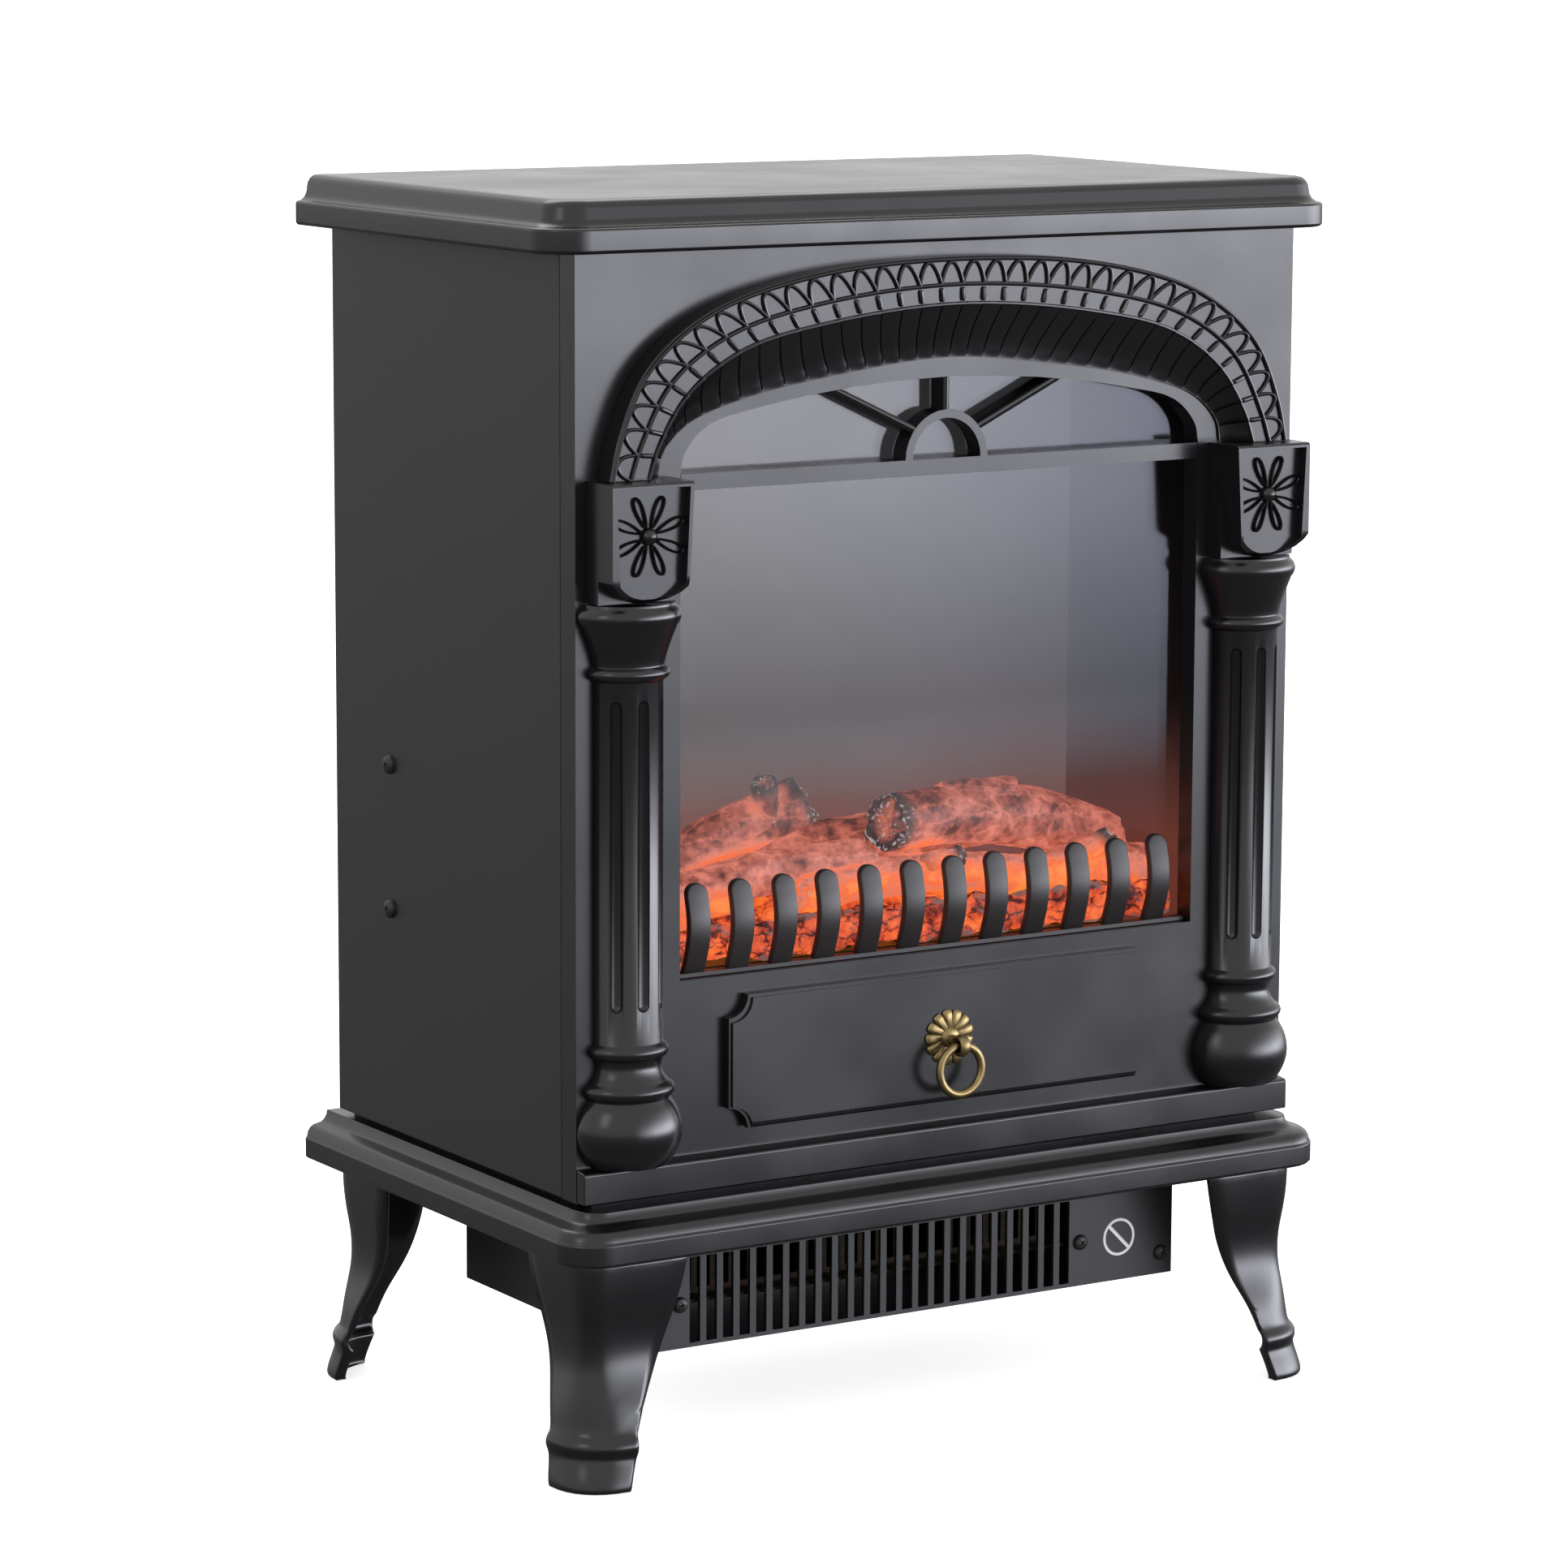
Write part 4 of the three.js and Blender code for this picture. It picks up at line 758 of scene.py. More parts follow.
# %% The grooved shell of the arch
# A grid stands for the strip. Its columns crowd round each groove, and its rows run from the wall
# behind the outer edge, over the flat band and down the hollow.
GROOVE_COLUMNS = [0.0, 0.045, 0.09, 0.3, 0.6, 0.85]
ROWS = [(0, "wall"), (0, "edge"), (0.07, "face"), (0.5, "face"), (1, "face"), (1.5, "face"), (1.96, "face"),
        (2.0, "face"), (2.06, "cove"), (2.15, "cove"), (2.28, "cove"), (2.42, "cove"), (2.56, "cove"),
        (2.7, "cove"), (2.82, "cove"), (2.9, "cove"), (2.95, "cove"), (3.0, "cove"), (3.0, "foot")]
steps = [k + f for k in range(ARCH_PITCHES) for f in GROOVE_COLUMNS] + [ARCH_PITCHES]


def shell_point(step, band, kind):
    if kind == "wall":
        spot = along(ARCH_LINES["outer"], even_share(step))
        return at(spot.x, -0.3, spot.y)
    if kind == "edge":
        spot = along(ARCH_LINES["outer"], even_share(step))
        return at(spot.x, -PROUD + 0.8, spot.y)
    if kind == "foot":
        spot = along(ARCH_LINES["soffit"], even_share(step))
        return at(spot.x, -0.3, spot.y)
    part = step % 1
    lift = 0.0
    if kind == "cove" and band < 2.94:
        lift = -1.1 if abs(part - 0.045) < 0.01 else 0.45 * part
    return on_arch(step, band, lift)


clear_selection()
bpy.ops.mesh.primitive_grid_add(x_subdivisions=len(steps) - 1, y_subdivisions=len(ROWS) - 1, size=1)
arch = bpy.context.object
wide = len(steps)
for corner in arch.data.vertices:
    i = round((corner.co.x + 0.5) * (wide - 1))
    j = round((corner.co.y + 0.5) * (len(ROWS) - 1))
    corner.co = shell_point(steps[i], *ROWS[j])
bpy.ops.object.mode_set(mode="EDIT")
SPRING = ARCH_LINES["outer"][0][1]
for side in (-1, 1):
    select_where(arch, "VERT", lambda middle, vertex: middle.z < (SPRING + 0.02) * MM and middle.x * side > 0)
    bpy.ops.mesh.edge_face_add()
select_where(arch, "EDGE", lambda middle, edge: edge.is_boundary)
bpy.ops.mesh.edge_face_add()
bpy.ops.object.mode_set(mode="OBJECT")
tidy_normals(arch)
smooth(arch, 28)

# %% Beads, pointed arches and ribs
# A wire is a curve with a round section, made into a mesh. Each little arch stands on the middle bead
# and touches the outer one, and a short rib hangs below every foot.


def wire(points, radius, name, closed=False, sides=3):
    clear_selection()
    bpy.ops.curve.primitive_nurbs_path_add(location=(0, 0, 0))
    line = bpy.context.object
    line.name = name
    line.data.splines.clear()
    spline = line.data.splines.new("POLY")
    spline.points.add(len(points) - 1)
    for spot, point in zip(spline.points, points):
        spot.co = (*point, 1)
    spline.use_cyclic_u = closed
    line.data.bevel_depth = radius * MM
    line.data.bevel_resolution = sides - 2
    line.data.use_fill_caps = not closed
    bpy.ops.object.convert(target="MESH")
    return bpy.context.object


ornament = []
for band, radius in ((0.09, 0.95), (1.0, 0.95)):
    path = [on_arch(i / 4, band, 0.6) for i in range(ARCH_PITCHES * 4 + 1)]
    ornament.append(wire(path, radius, "bead", sides=4))
# The bead on the ridge steps down a little at each groove, as the hollow's facets do.
path = [on_arch(k + part, 1.97, 0.25 + 0.5 * part) for k in range(ARCH_PITCHES) for part in (0.03, 0.5, 0.97)]
ornament.append(wire(path, 0.85, "ridge_bead", sides=4))
for k in range(ARCH_PITCHES):
    spread = [-1 + i / 7 for i in range(15)]
    path = [on_arch(k + 0.5 + 0.5 * s, 0.98 - 0.8 * (1 - abs(s) ** 2.1), 0.6) for s in spread]
    ornament.append(wire(path, 0.82, "lancet", sides=4))
for k in range(1, ARCH_PITCHES):
    path = [on_arch(k, band, lift) for band, lift in ((1.22, 0.1), (1.27, 0.5), (1.5, 0.6), (1.73, 0.5), (1.78, 0.1))]
    ornament.append(wire(path, 1.1, "rib", sides=5))
    path = [on_arch(k + 0.045, band, 0.05) for band in (2.90, 2.935)]
    ornament.append(wire(path, 0.55, "groove_end", sides=4))
arch = join_all([arch, *ornament])
smooth(arch, 30)
hand_over(arch, "arch_moulding", satin_abs, "satin_black", "cabinet", "arch_surround")

# %% [markdown]
# ## Flowers on the blocks
# Eight looped petals stand round a bead on the floor of each block's recess. One petal is a closed wire
# drawn as a leaf, its round section pulled forwards so that it stands up like a little wall, and the
# other seven are copies turned about the bead.

# %% Petals
FLOWER = (166.5, -18, 424.2)


def petal(turn_by):
    spots = []
    for i in range(24):
        t = 2 * math.pi * i / 24
        reach = 11.3 + 6.9 * math.cos(t)
        half = 2.5 * math.sin(t) * (0.72 + 0.28 * math.cos(t))
        spots.append(Vector((reach * math.cos(turn_by) - half * math.sin(turn_by), 0,
                             reach * math.sin(turn_by) + half * math.cos(turn_by))) * MM)
    loop = wire(spots, 0.62, "petal", closed=True, sides=4)
    pick(loop)
    bpy.ops.object.mode_set(mode="EDIT")
    bpy.ops.mesh.select_all(action="SELECT")
    bpy.ops.transform.resize(value=(1, 3.2, 1), center_override=(0, 0, 0))
    bpy.ops.object.mode_set(mode="OBJECT")
    return loop


flower = join_all([petal(math.radians(22.5 + 45 * k)) for k in range(8)])
smooth(flower, 60)
for side, name in ((-1, "left"), (1, "right")):
    twin = copy_of(flower, name)
    twin.location = at(side * FLOWER[0], FLOWER[1], FLOWER[2])
    settle(twin)
    hand_over(twin, name + "_flower", satin_abs, "satin_black", "cabinet")
bpy.data.objects.remove(flower, do_unlink=True)

# %% [markdown]
# ## Glowing resin
# The logs and coals of an electric fire are thin shells of moulded resin, painted ash grey on top and lit
# from below by orange lamps, so light leaks out wherever the shell is thin: in the cracks, between the
# lumps and low down. One recipe paints that light on both as emission: a glow number is added up from
# noise, from how hidden a spot is and from how low it lies, and a ramp turns it into a glow colour. On the
# coals hidden spots and cracks come out darker, a painted shade, while on the logs they glow brighter.
# The ash and char colours are emitted as well, so they too are painted lit.

# %% Recipe for glowing resin


def add_up(tree, *parts):
    """Chains multiply-and-add nodes: the sum of each source times its weight, plus its offset."""
    total = None
    for source, weight, offset in parts:
        term = node(tree, "ShaderNodeMath", {"operation": "MULTIPLY_ADD"})
        tree.links.new(source, term.inputs[0])
        term.inputs[1].default_value = weight
        term.inputs[2].default_value = offset
        if total is not None:
            tree.links.new(total, term.inputs[2])
        total = term.outputs[0]
    return total


def glowing_resin(name, patch, brightest_height, dimmest_height, weights, stops, flake_colour):
    finish, tree, shader, place = start_finish(name)
    broad = node(tree, "ShaderNodeTexNoise", {"Scale": 1 / (patch * MM), "Detail": 4.0, "Roughness": 0.55},
                 Vector=place).outputs["Fac"]
    veins = node(tree, "ShaderNodeTexNoise", {"Scale": 1 / (patch * 0.3 * MM), "Detail": 6.0,
                                              "Roughness": 0.65}, Vector=place).outputs["Fac"]
    drawn = node(tree, "ShaderNodeVectorMath", {"operation": "MULTIPLY"})
    tree.links.new(place, drawn.inputs[0])
    drawn.inputs[1].default_value = (0.38, 1.0, 1.0)
    bent = node(tree, "ShaderNodeTexNoise", {"Scale": 1 / (9 * MM), "Detail": 5.0, "Roughness": 0.6}, Vector=place)
    swerve = node(tree, "ShaderNodeVectorMath", {"operation": "MULTIPLY_ADD"})
    tree.links.new(bent.outputs["Color"], swerve.inputs[0])
    swerve.inputs[1].default_value = (9 * MM, 9 * MM, 9 * MM)
    tree.links.new(drawn.outputs[0], swerve.inputs[2])
    seams = node(tree, "ShaderNodeTexVoronoi", {"feature": "DISTANCE_TO_EDGE", "Scale": 1 / (patch * 0.75 * MM)},
                 Vector=swerve.outputs[0])
    crack = node(tree, "ShaderNodeMapRange", {"From Min": 0.08, "From Max": 0.0}, Value=seams.outputs["Distance"])
    # How hidden a spot is: the coals' weight paints shade into their hollows, the logs' weight paints glow into theirs.
    hidden = node(tree, "ShaderNodeAmbientOcclusion", {"Distance": 7 * MM, "samples": 8}).outputs["AO"]
    height = node(tree, "ShaderNodeSeparateXYZ", Vector=place).outputs["Z"]
    dimming = node(tree, "ShaderNodeMapRange", {"From Min": brightest_height, "From Max": dimmest_height}, Value=height)
    base, by_patch, by_vein, by_hollow, by_height, by_crack = weights
    start = base + 0.5 * by_patch * -1 - 0.5 * by_vein
    glow_level = add_up(tree, (broad, by_patch, start), (veins, by_vein, 0), (hidden, -by_hollow, 0),
                  (dimming.outputs["Result"], -by_height, 0), (crack.outputs["Result"], by_crack, 0))
    glow = ramp(tree, glow_level, *stops)
    edge = node(tree, "ShaderNodeNewGeometry").outputs["Pointiness"]
    charred = node(tree, "ShaderNodeAttribute", {"attribute_name": "char"}).outputs["Fac"]
    speck = node(tree, "ShaderNodeTexNoise", {"Scale": 1 / (2.2 * MM), "Detail": 4.0}, Vector=place)
    crust = ramp(tree, add_up(tree, (speck.outputs["Fac"], 0.9, -0.1), (edge, 1.0, 0)),
                 (0.86, paint("#241a1b")), (0.96, paint("#4a3c3d")), (1.04, flake_colour))
    surface = node(tree, "ShaderNodeMix", {"data_type": "RGBA"})
    tree.links.new(add_up(tree, (charred, 1.6, -0.5), (broad, 0.5, 0)), surface.inputs["Factor"])
    tree.links.new(glow, surface.inputs[6])
    tree.links.new(crust, surface.inputs[7])
    flakes = node(tree, "ShaderNodeMix", {"data_type": "RGBA"})
    rim = add_up(tree, (edge, 14.0, -8.2), (speck.outputs["Fac"], 1.8, 0))
    tree.links.new(ramp(tree, rim, (0.5, grey(0)), (0.8, grey(1))), flakes.inputs["Factor"])
    tree.links.new(surface.outputs[2], flakes.inputs[6])
    flakes.inputs[7].default_value = flake_colour
    # The emission carries it all: the painted glow, and the ash and char colours painted lit.
    tree.links.new(flakes.outputs[2], shader.inputs["Emission Color"])
    tree.links.new(ramp(tree, broad, (0.35, paint("#3a2a28")), (0.7, paint("#5a4643"))),
                   shader.inputs["Base Color"])
    relief = node(tree, "ShaderNodeBump", {"Strength": 0.5, "Distance": 1.0 * MM}, Height=veins)
    tree.links.new(relief.outputs["Normal"], shader.inputs["Normal"])
    shader.inputs["Emission Strength"].default_value = 1.0
    shader.inputs["Roughness"].default_value = 0.6
    return finish


# The coals swing from black crust to bright orange, the logs from ash pink to orange.
COAL_GLOW = [(0.16, paint("#2a0c08")), (0.32, paint("#8f2314")), (0.50, paint("#cc4a26")),
             (0.70, paint("#ec5c26")), (1.0, paint("#ff7a30"))]
LOG_GLOW = [(0.04, paint("#4a1c18")), (0.20, paint("#a4503f")), (0.42, paint("#d87a66")),
            (0.62, paint("#f2774c")), (0.80, paint("#f66028")), (1.0, paint("#ff8a36"))]
ember_glow = glowing_resin("lit_ember_resin", 10, 0.226, 0.262, (0.40, 1.9, 1.0, -0.50, 0.35, -0.45), COAL_GLOW,
                           paint("#7a5450"))
log_glow = glowing_resin("lit_log_resin", 16, 0.244, 0.300, (1.06, 0.8, 0.7, 0.78, 0.18, 0.13), LOG_GLOW,
                         paint("#a8a0a2"))
print("made", ember_glow.name, "and", log_glow.name)

# %% [markdown]
# ## Logs
# Bark is a round form with long ridges. A cylinder is cut into many rings and pressed to a quarter of its
# length, cloud noise pushes its skin in and out, and pulling it back to full length draws the lumps out
# into ridges. Then it is bowed, its ends are hollowed a little, and it is laid in its place.

# %% Roughen and shape a log


def roughen(piece, size, strength, kind="CLOUDS", middle=0.5):
    lumps = bpy.data.textures.new("lumps", kind)
    lumps.noise_scale = size * MM
    add_modifier(piece, "DISPLACE", texture=lumps, texture_coords="LOCAL", strength=strength * MM,
                 mid_level=middle)


def edit_all(piece, *steps):
    pick(piece)
    bpy.ops.object.mode_set(mode="EDIT")
    bpy.ops.mesh.select_all(action="SELECT")
    for step in steps:
        step()
    bpy.ops.object.mode_set(mode="OBJECT")


def shift(x, y, z):
    return lambda: bpy.ops.transform.translate(value=Vector((x, y, z)) * MM)


def stretch(x, y, z):
    return lambda: bpy.ops.transform.resize(value=(x, y, z), center_override=(0, 0, 0))


CHAR_REACH = 9


def lay_log(name, start, end, radii, seed, bow=(0, 0), char=(0, 1), bark=3.4, rings=46):
    """One log between two points. The char attribute is 1 at a charred end and fades over a few mm."""
    length = (Vector(end) - Vector(start)).length
    clear_selection()
    bpy.ops.mesh.primitive_cylinder_add(vertices=44, radius=MM, depth=length * MM / 4,
                                        location=(0, 0, length * MM / 8))
    log = bpy.context.object
    settle(log)
    bpy.ops.object.mode_set(mode="EDIT")
    select_where(log, "EDGE", lambda middle, edge: abs(edge.verts[0].co.z - edge.verts[1].co.z) > MM)
    bpy.ops.mesh.subdivide(number_cuts=rings)
    select_where(log, "FACE", lambda middle, face: abs(face.normal.z) > 0.9)
    for width in (0.1, 0.16, 0.22, 0.2):
        bpy.ops.mesh.inset(thickness=width * MM, use_individual=True)
    bpy.ops.object.mode_set(mode="OBJECT")
    for corner in log.data.vertices:
        share = corner.co.z / (length * MM / 4)
        radius = radii[0] + (radii[1] - radii[0]) * share
        corner.co.x *= radius
        corner.co.y *= radius
    edit_all(log, shift(*seed))
    roughen(log, 9, bark)
    roughen(log, 3.2, bark * 0.42)
    edit_all(log, shift(*[-v for v in seed]), stretch(1, 1, 4))
    bpy.ops.object.mode_set(mode="EDIT")
    select_where(log, "FACE", lambda middle, face: abs(face.normal.z) > 0.75
                 and math.hypot(middle.x, middle.y) < 0.8 * max(radii) * MM)
    bpy.ops.mesh.inset(thickness=0.5 * MM, depth=-1.6 * MM)
    bpy.ops.object.mode_set(mode="OBJECT")
    burnt = log.data.attributes.new("char", "FLOAT", "POINT")
    for corner, mark in zip(log.data.vertices, burnt.data):
        ends = (corner.co.z / MM, length - corner.co.z / MM)
        near = [max(0, 1 - max(0, far) / CHAR_REACH) * strength for far, strength in zip(ends, char)]
        rim = min(1, math.hypot(corner.co.x, corner.co.y) / (max(radii) * 0.75 * MM))
        mark.value = max(near) * (0.5 + 0.5 * rim ** 4)
    for corner in log.data.vertices:
        lift = math.sin(math.pi * min(1, max(0, corner.co.z / (length * MM))))
        corner.co.x += bow[0] * MM * lift
        corner.co.y += bow[1] * MM * lift
    log.rotation_mode = "QUATERNION"
    log.rotation_quaternion = (Vector(end) - Vector(start)).to_track_quat("Z", "Y")
    log.location = at(*start)
    settle(log)
    add_modifier(log, "SUBSURF", levels=1, render_levels=1)
    roughen(log, 2.0, 0.9)
    smooth(log, 70)
    return log


# %% Lay the fire
# Each stem: its two ends, their radii, a seed for its bark, how it bows, and which ends are charred.
LOGS = {
    "log_right": [((-6, 38, 276.5), (132, 60, 252), (13.5, 15), (11, 3, 0), (0, 9), (1, 0)),
                  ((28, 44, 284), (70, 46, 284), (8, 7), (4, 9, 2), (0, 0), (0, 0))],
    "log_left": [((-138, 60, 249), (-46, 48, 289), (12.5, 12), (31, 8, 5), (0, 2), (0, 1)),
                 ((-66, 46, 281), (-70, 42, 300), (7, 6), (9, 1, 7), (0, 0), (0, 1))],
    "log_front": [((-136, 30, 250), (-20, 34, 262), (11, 9), (52, 2, 9), (0, 4), (0, 0)),
                  ((-60, 26, 250), (62, 27, 248), (8.5, 9.5), (3, 13, 3), (0, 5), (0, 0)),
                  ((6, 24, 257), (24, 22, 261), (6, 5), (3, 3, 3), (0, 0), (0.4, 1))],
    "log_back": [((-146, 78, 262), (-118, 70, 272), (10, 9), (17, 6, 1), (0, 0), (0, 1)),
                 ((-60, 84, 254), (96, 86, 262), (12, 11), (6, 16, 1), (0, 3), (0, 0))],
    "stray_coals": [((60, 24, 246), (134, 30, 246), (9, 10), (8, 21, 4), (0, 4), (0.5, 0)),
                    ((-138, 24, 244), (-92, 22, 252), (7, 6), (2, 8, 14), (0, 2), (0, 1)),
                    ((96, 24, 254), (108, 22, 262), (6, 5), (5, 8, 24), (0, 0), (0, 1))],
}
for name, stems in LOGS.items():
    log = join_all([lay_log(name, *stem) for stem in stems])
    hand_over(log, name + "_bark", log_glow, "log_resin", "cabinet", *[name for n in nodes if n == name])

# %% [markdown]
# ## Ember bed
# Under the logs lies one moulded tray of coals. A box is cut into small squares in all three directions,
# and two noises push it out: a cell noise that makes lumps with creases between them, and a cloud noise
# that keeps the lumps from looking alike.

# %% Coals
coals = box_of((-141, 19, 224.5), (141, 104, 241), "coals")
bpy.ops.object.mode_set(mode="EDIT")
for axis, cuts in ((0, 140), (1, 40), (2, 10)):
    select_where(coals, "EDGE", lambda middle, edge: abs((edge.verts[0].co - edge.verts[1].co)[axis])
                 > 0.9 * (edge.verts[0].co - edge.verts[1].co).length)
    bpy.ops.mesh.subdivide(number_cuts=cuts)
bpy.ops.object.mode_set(mode="OBJECT")
roughen(coals, 12, -8, "VORONOI", 0.5)
roughen(coals, 6, 4)
roughen(coals, 2.2, 1.6)
for corner in coals.data.vertices:
    corner.co.z = max(corner.co.z, 223.4 * MM)
smooth(coals, 60)
low_edge = min(corner.co.z for corner in coals.data.vertices)
print("the coals reach down to", round(low_edge / MM, 1), "mm")
hand_over(coals, "coals", ember_glow, "ember_resin", "cabinet", "ember_bed")

# %% [markdown]
# ## Log fender
# A row of flat fingers with round heads stands before the fire. A cube is stretched to one finger, its
# two top corners are bevelled until they meet as a half round, and it is sliced across so that it can
# be bowed. The other fingers are copies, and one thin rail carries them all.

# %% Fender fingers
FINGER = {"half": 5.45, "low": 222.9, "high": 265, "deep": 3.8}
FIRST_FINGER, FINGER_PITCH = -128.6, 22.8


def bow(height):
    share = (height - FINGER["low"]) / (FINGER["high"] - FINGER["low"])
    return 6.0 - 2.4 * share - 4.8 * math.sin(math.pi * min(1, max(0, share))) ** 1.2


finger = box_of((-FINGER["half"], 0, FINGER["low"]), (FINGER["half"], FINGER["deep"], FINGER["high"]), "finger")
bpy.ops.object.mode_set(mode="EDIT")
select_where(finger, "EDGE", lambda middle, edge: middle.z > 264 * MM and abs(middle.x) > 5 * MM)
bpy.ops.mesh.bevel(offset=FINGER["half"] * 0.97 * MM, segments=8)
for height in range(226, 262, 3):
    bpy.ops.mesh.select_all(action="SELECT")
    bpy.ops.mesh.bisect(plane_co=(0, 0, height * MM), plane_no=(0, 0, 1))
bpy.ops.object.mode_set(mode="OBJECT")
for corner in finger.data.vertices:
    corner.co.y += bow(corner.co.z / MM) * MM
add_modifier(finger, "BEVEL", width=0.7 * MM, segments=3, limit_method="ANGLE", angle_limit=math.radians(50))
row = [box_of((-138.6, 4.2, 222.8), (138.6, 9.6, 224.6), "rail")]
for k in range(12):
    twin = copy_of(finger, "finger")
    twin.location = ((FIRST_FINGER + FINGER_PITCH * k) * MM, 0, 0)
    settle(twin)
    row.append(twin)
bpy.data.objects.remove(finger, do_unlink=True)
fender = join_all(row)
smooth(fender, 45)
hand_over(fender, "fender", fender_abs, "satin_black", "cabinet", "log_fender")

# %% [markdown]
# ## Legs
# The four legs are hollow cast-looking shells with a swept outline. The CAD shell is right but has
# facets, so its copy is turned back into four-sided faces, its true edges are creased, and a subdivision
# surface rounds everything between them.

# %% Smooth the legs


def round_off(name, levels=2, crease_over=48):
    twin = copy_of(nodes[name], name + "_round")
    twin.parent = None
    pick(twin)
    bpy.ops.object.mode_set(mode="EDIT")
    bpy.ops.mesh.select_all(action="SELECT")
    bpy.ops.mesh.remove_doubles(threshold=0.02 * MM)
    bpy.ops.mesh.dissolve_limited(angle_limit=math.radians(0.5), delimit=set())
    bpy.ops.mesh.tris_convert_to_quads(face_threshold=math.radians(60), shape_threshold=math.radians(70))
    bpy.ops.mesh.select_mode(type="EDGE")
    bpy.ops.mesh.select_all(action="DESELECT")
    bpy.ops.mesh.edges_select_sharp(sharpness=math.radians(crease_over))
    bpy.ops.transform.edge_crease(value=0.85)
    bpy.ops.object.mode_set(mode="OBJECT")
    add_modifier(twin, "SUBSURF", levels=levels, render_levels=levels)
    smooth(twin, 50)
    return hand_over(twin, name + "_round", FINISHES[slot_of[name]], slot_of[name], body_of[name], name)


for name in ("front_left_leg", "front_right_leg", "back_left_leg", "back_right_leg"):
    round_off(name)

# %% [markdown]
# ## Ring pull
# A thirteen-petalled rosette, pressed from brass and dished, with a post, an eye and a cast ring. The
# rosette is a disc whose rim is pushed in and out round its edge, and whose petals rise between grooves.

# %% Rosette
PETALS = 13
ROSE = at(0, -6.3, 183.5)
rose = turned([(0, 0), (12.9, 0), (13, 0.4), (12.4, 1.2), (11, 1.7), (8, 1.9), (5.6, 1.5), (4.8, 1.3), (4.2, 2.2),
               (3.2, 3), (0, 3.2)], PETALS * 10, "rosette")
for corner in rose.data.vertices:
    radius = math.hypot(corner.co.x, corner.co.y) / MM
    angle = math.atan2(corner.co.y, corner.co.x)
    wave = abs(math.sin(angle * PETALS / 2))
    if radius > 4.5:
        share = (radius - 4.5) / 8.5
        pull = 1 - (1 - wave) ** 2.2 * 0.13 * share ** 2
        corner.co.x *= pull
        corner.co.y *= pull
        if corner.co.z > 0.3 * MM:
            corner.co.z -= (1 - wave) ** 2 * 0.9 * MM * min(1, 2 * share)
rose.rotation_euler = (math.radians(90), 0, 0)
rose.location = ROSE
settle(rose)
smooth(rose, 50)
hand_over(rose, "rosette", aged_brass, "antique_brass", "flap", "pull_rosette")

# %% Post with its eye, and the ring
EYE = (0, -16, 181.2)
post = turned([(0, -1), (3.6, -1), (3.4, 1), (2.3, 2.6), (2.2, 6), (2.8, 7.6), (0, 7.6)], 24, "post")
post.rotation_euler = (math.radians(90), 0, 0)
post.location = at(0, -7, 182.6)
settle(post)
clear_selection()
bpy.ops.mesh.primitive_torus_add(major_radius=3.9 * MM, minor_radius=1.3 * MM, major_segments=32,
                                 minor_segments=14, location=at(*EYE), rotation=(0, math.radians(90), 0))
eye = bpy.context.object
settle(eye)
bpy.ops.object.mode_set(mode="EDIT")
bpy.ops.mesh.select_all(action="SELECT")
bpy.ops.transform.resize(value=(2.0, 1, 1), center_override=at(*EYE))
bpy.ops.object.mode_set(mode="OBJECT")
post = join_all([post, eye])
smooth(post, 50)
hand_over(post, "pull_post_cast", aged_brass, "antique_brass", "flap", "pull_post")

clear_selection()
bpy.ops.mesh.primitive_torus_add(major_radius=11.3 * MM, minor_radius=1.9 * MM, major_segments=72,
                                 minor_segments=20, location=at(0, -16, 169.9),
                                 rotation=(math.radians(90), 0, 0))
ring = bpy.context.object
settle(ring)
smooth(ring, 80)
hand_over(ring, "pull_ring_cast", aged_brass, "antique_brass", "ring", "pull_ring")

# %% [markdown]
# ## Screws
# The same black pan-head screw holds the side sheets and the outlet front. A turned dome gets a cross
# cut in it by two thin wedges, and the rest are copies.

# %% One screw, then its copies
HEAD = [(0, -1.5), (4.4, -1.5), (4.4, 0.7), (4.0, 1.5), (3.1, 2.1), (1.8, 2.5), (0, 2.6)]


def screw_head(scale=1.0):
    head = turned(HEAD, 36, "screw")
    wings = []
    for turn_by in (0, 90):
        clear_selection()
        bpy.ops.mesh.primitive_cube_add(size=1, location=(0, 0, 2.4 * MM),
                                        rotation=(0, 0, math.radians(turn_by)))
        wing = bpy.context.object
        wing.scale = (5.0 * MM, 1.0 * MM, 2.6 * MM)
        settle(wing)
        bpy.ops.object.mode_set(mode="EDIT")
        select_where(wing, "FACE", lambda middle, face: middle.z < 1.3 * MM)
        bpy.ops.transform.resize(value=(0.45, 0.45, 1), center_override=(0, 0, 1.1 * MM))
        bpy.ops.object.mode_set(mode="OBJECT")
        wings.append(wing)
    cut_by(head, *wings)
    head.scale = (scale, scale, scale)
    settle(head)
    smooth(head, 35)
    return head


def set_screw(place, facing, name, turn_by, stands_for=(), scale=1.0):
    head = screw_head(scale)
    head.rotation_mode = "QUATERNION"
    head.rotation_quaternion = Vector(facing).to_track_quat("Z", "Y")
    head.rotation_quaternion.rotate(Matrix.Rotation(math.radians(turn_by), 3, Vector(facing)))
    head.location = place
    settle(head)
    return hand_over(head, name, dark_abs, "dark_plastic", "cabinet", *stands_for)


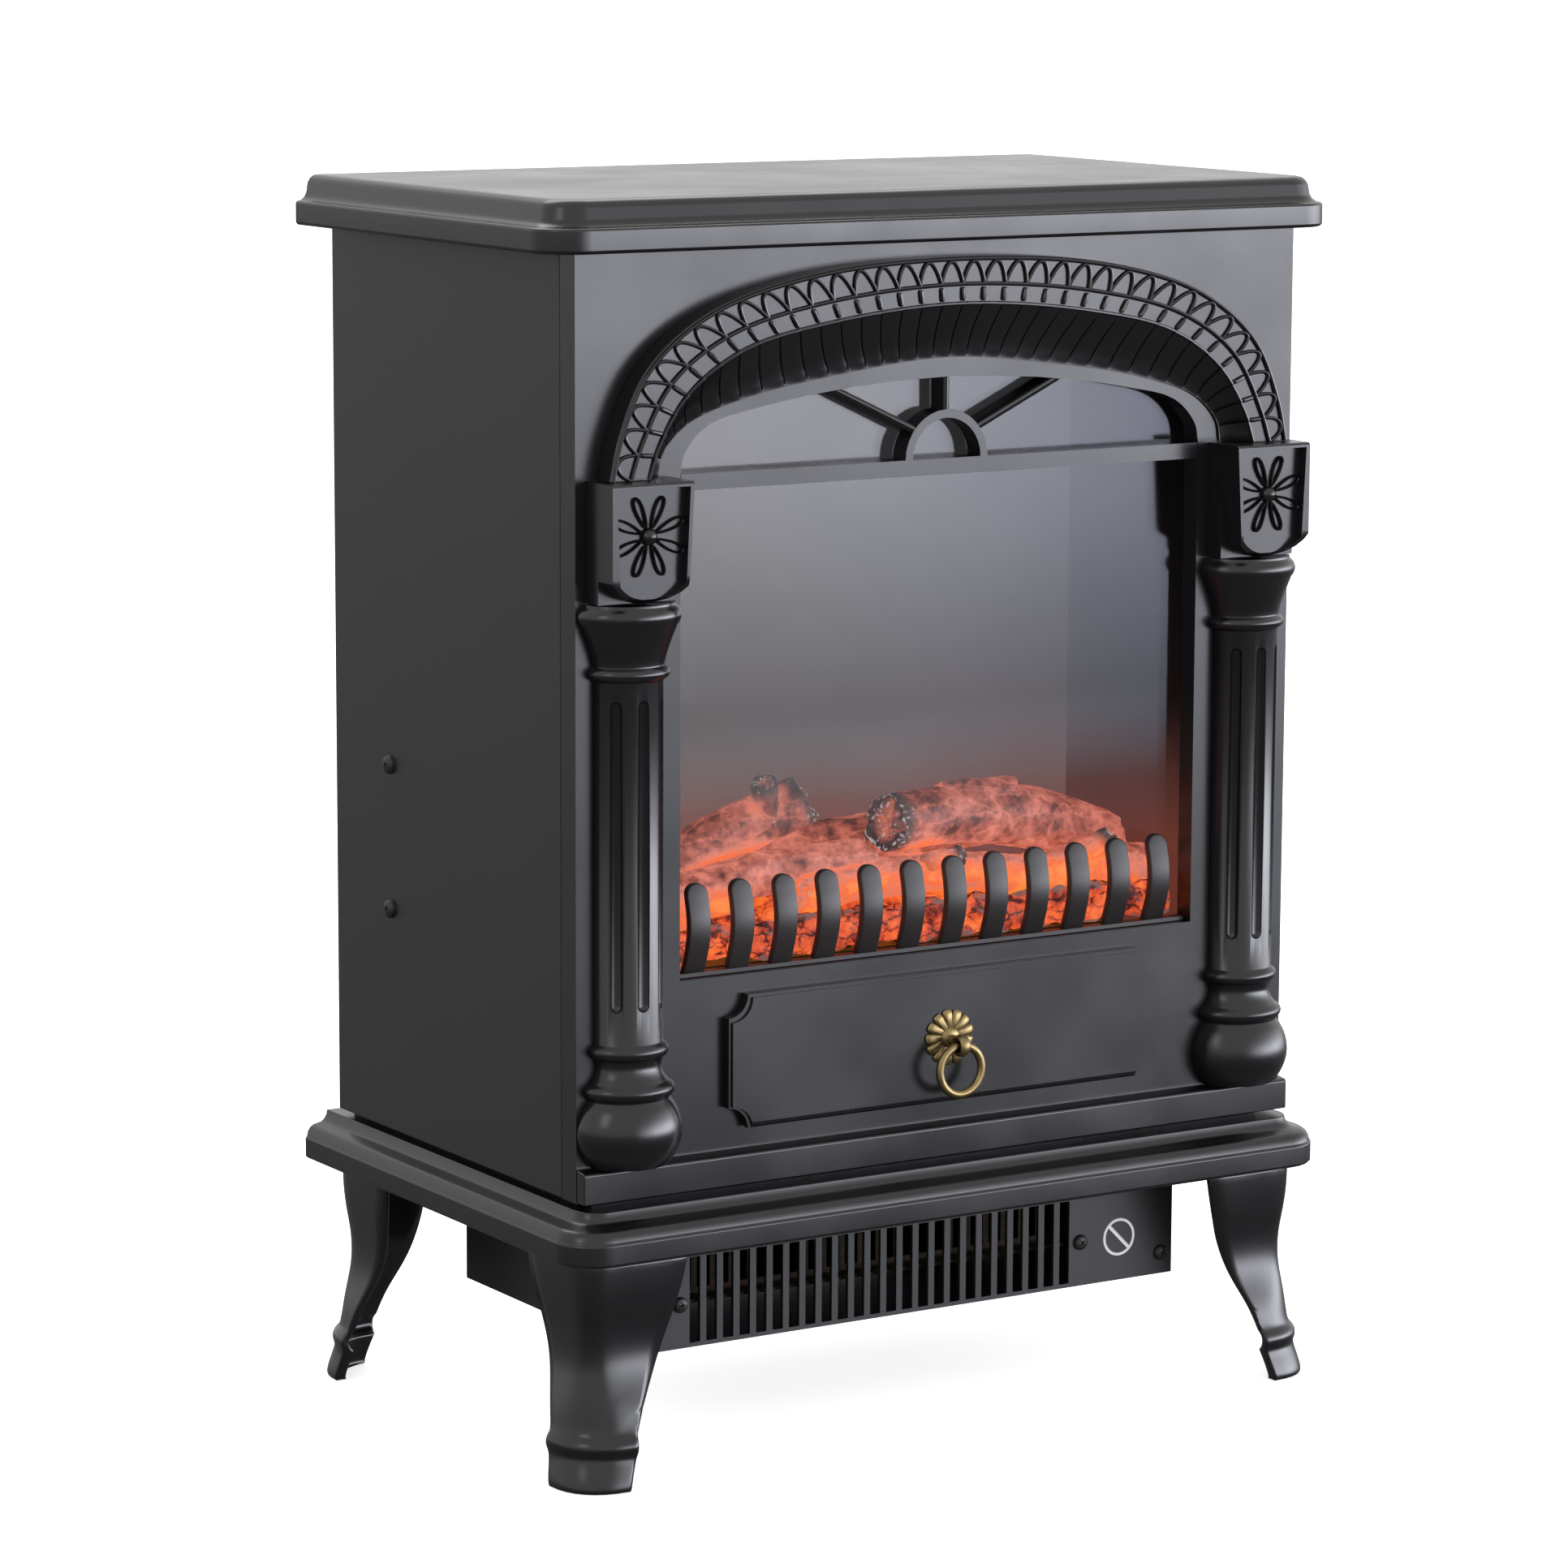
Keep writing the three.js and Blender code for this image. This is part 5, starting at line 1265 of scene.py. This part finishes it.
for side, word in ((-1, "left"), (1, "right")):
    for height, level, turn_by in ((300.4, "upper", 20), (232.8, "lower", 35)):
        set_screw(at(side * 192.8, 171.5, height), (side, 0, 0), f"{word}_{level}_screw_head", turn_by,
                  [f"{word}_{level}_side_screw"])
for i, (x, z, turn_by) in enumerate(((-126.6, 68.7, 10), (93.7, 69.4, 40), (140.3, 58.6, 65), (-140.3, 58.6, 25))):
    set_screw(at(x, 20.9, z), (0, -1, 0), f"outlet_screw_{i + 1}", turn_by, scale=0.85)
for i, (x, z) in enumerate(((-172, 536), (172, 536), (-172, 140), (172, 140), (0, 536), (0, 140))):
    set_screw(at(x, 225.4, z), (0, 1, 0), f"rear_screw_{i + 1}", 15 + 25 * i, scale=0.85)

# %% [markdown]
# ## Printed mark on the outlet front
# A small white ring with a slanting bar is printed beside the outlet: a plain keep-clear mark. Print has
# almost no thickness, so the wires are pressed nearly flat.

# %% Keep-clear mark
white_print, tree, shader, place = start_finish("pad_printed_white_ink")
speck = node(tree, "ShaderNodeTexNoise", {"Scale": 1 / (0.8 * MM)}, Vector=place)
tree.links.new(ramp(tree, speck.outputs["Fac"], (0.3, paint("#b4b4b8")), (0.7, paint("#cfcfd2"))),
               shader.inputs["Base Color"])
shader.inputs["Roughness"].default_value = 0.6
MARK = (116.1, 69.2)
MARK_RADIUS = 8.4
rim = [at(MARK[0] + MARK_RADIUS * math.cos(t * math.pi / 24), 20.95, MARK[1] + MARK_RADIUS * math.sin(t * math.pi / 24))
       for t in range(48)]
reach = MARK_RADIUS * math.sqrt(0.5)
slash = [at(MARK[0] + reach * s, 20.95, MARK[1] - reach * s) for s in (-1, -0.5, 0, 0.5, 1)]
mark = join_all([wire(rim, 0.8, "ring", closed=True), wire(slash, 1.0, "bar")])
pick(mark)
bpy.ops.object.mode_set(mode="EDIT")
bpy.ops.mesh.select_all(action="SELECT")
bpy.ops.transform.resize(value=(1, 0.2, 1), center_override=at(0, 20.95, 0))
bpy.ops.object.mode_set(mode="OBJECT")
hand_over(mark, "keep_clear_mark", white_print, "screen_white", "cabinet")
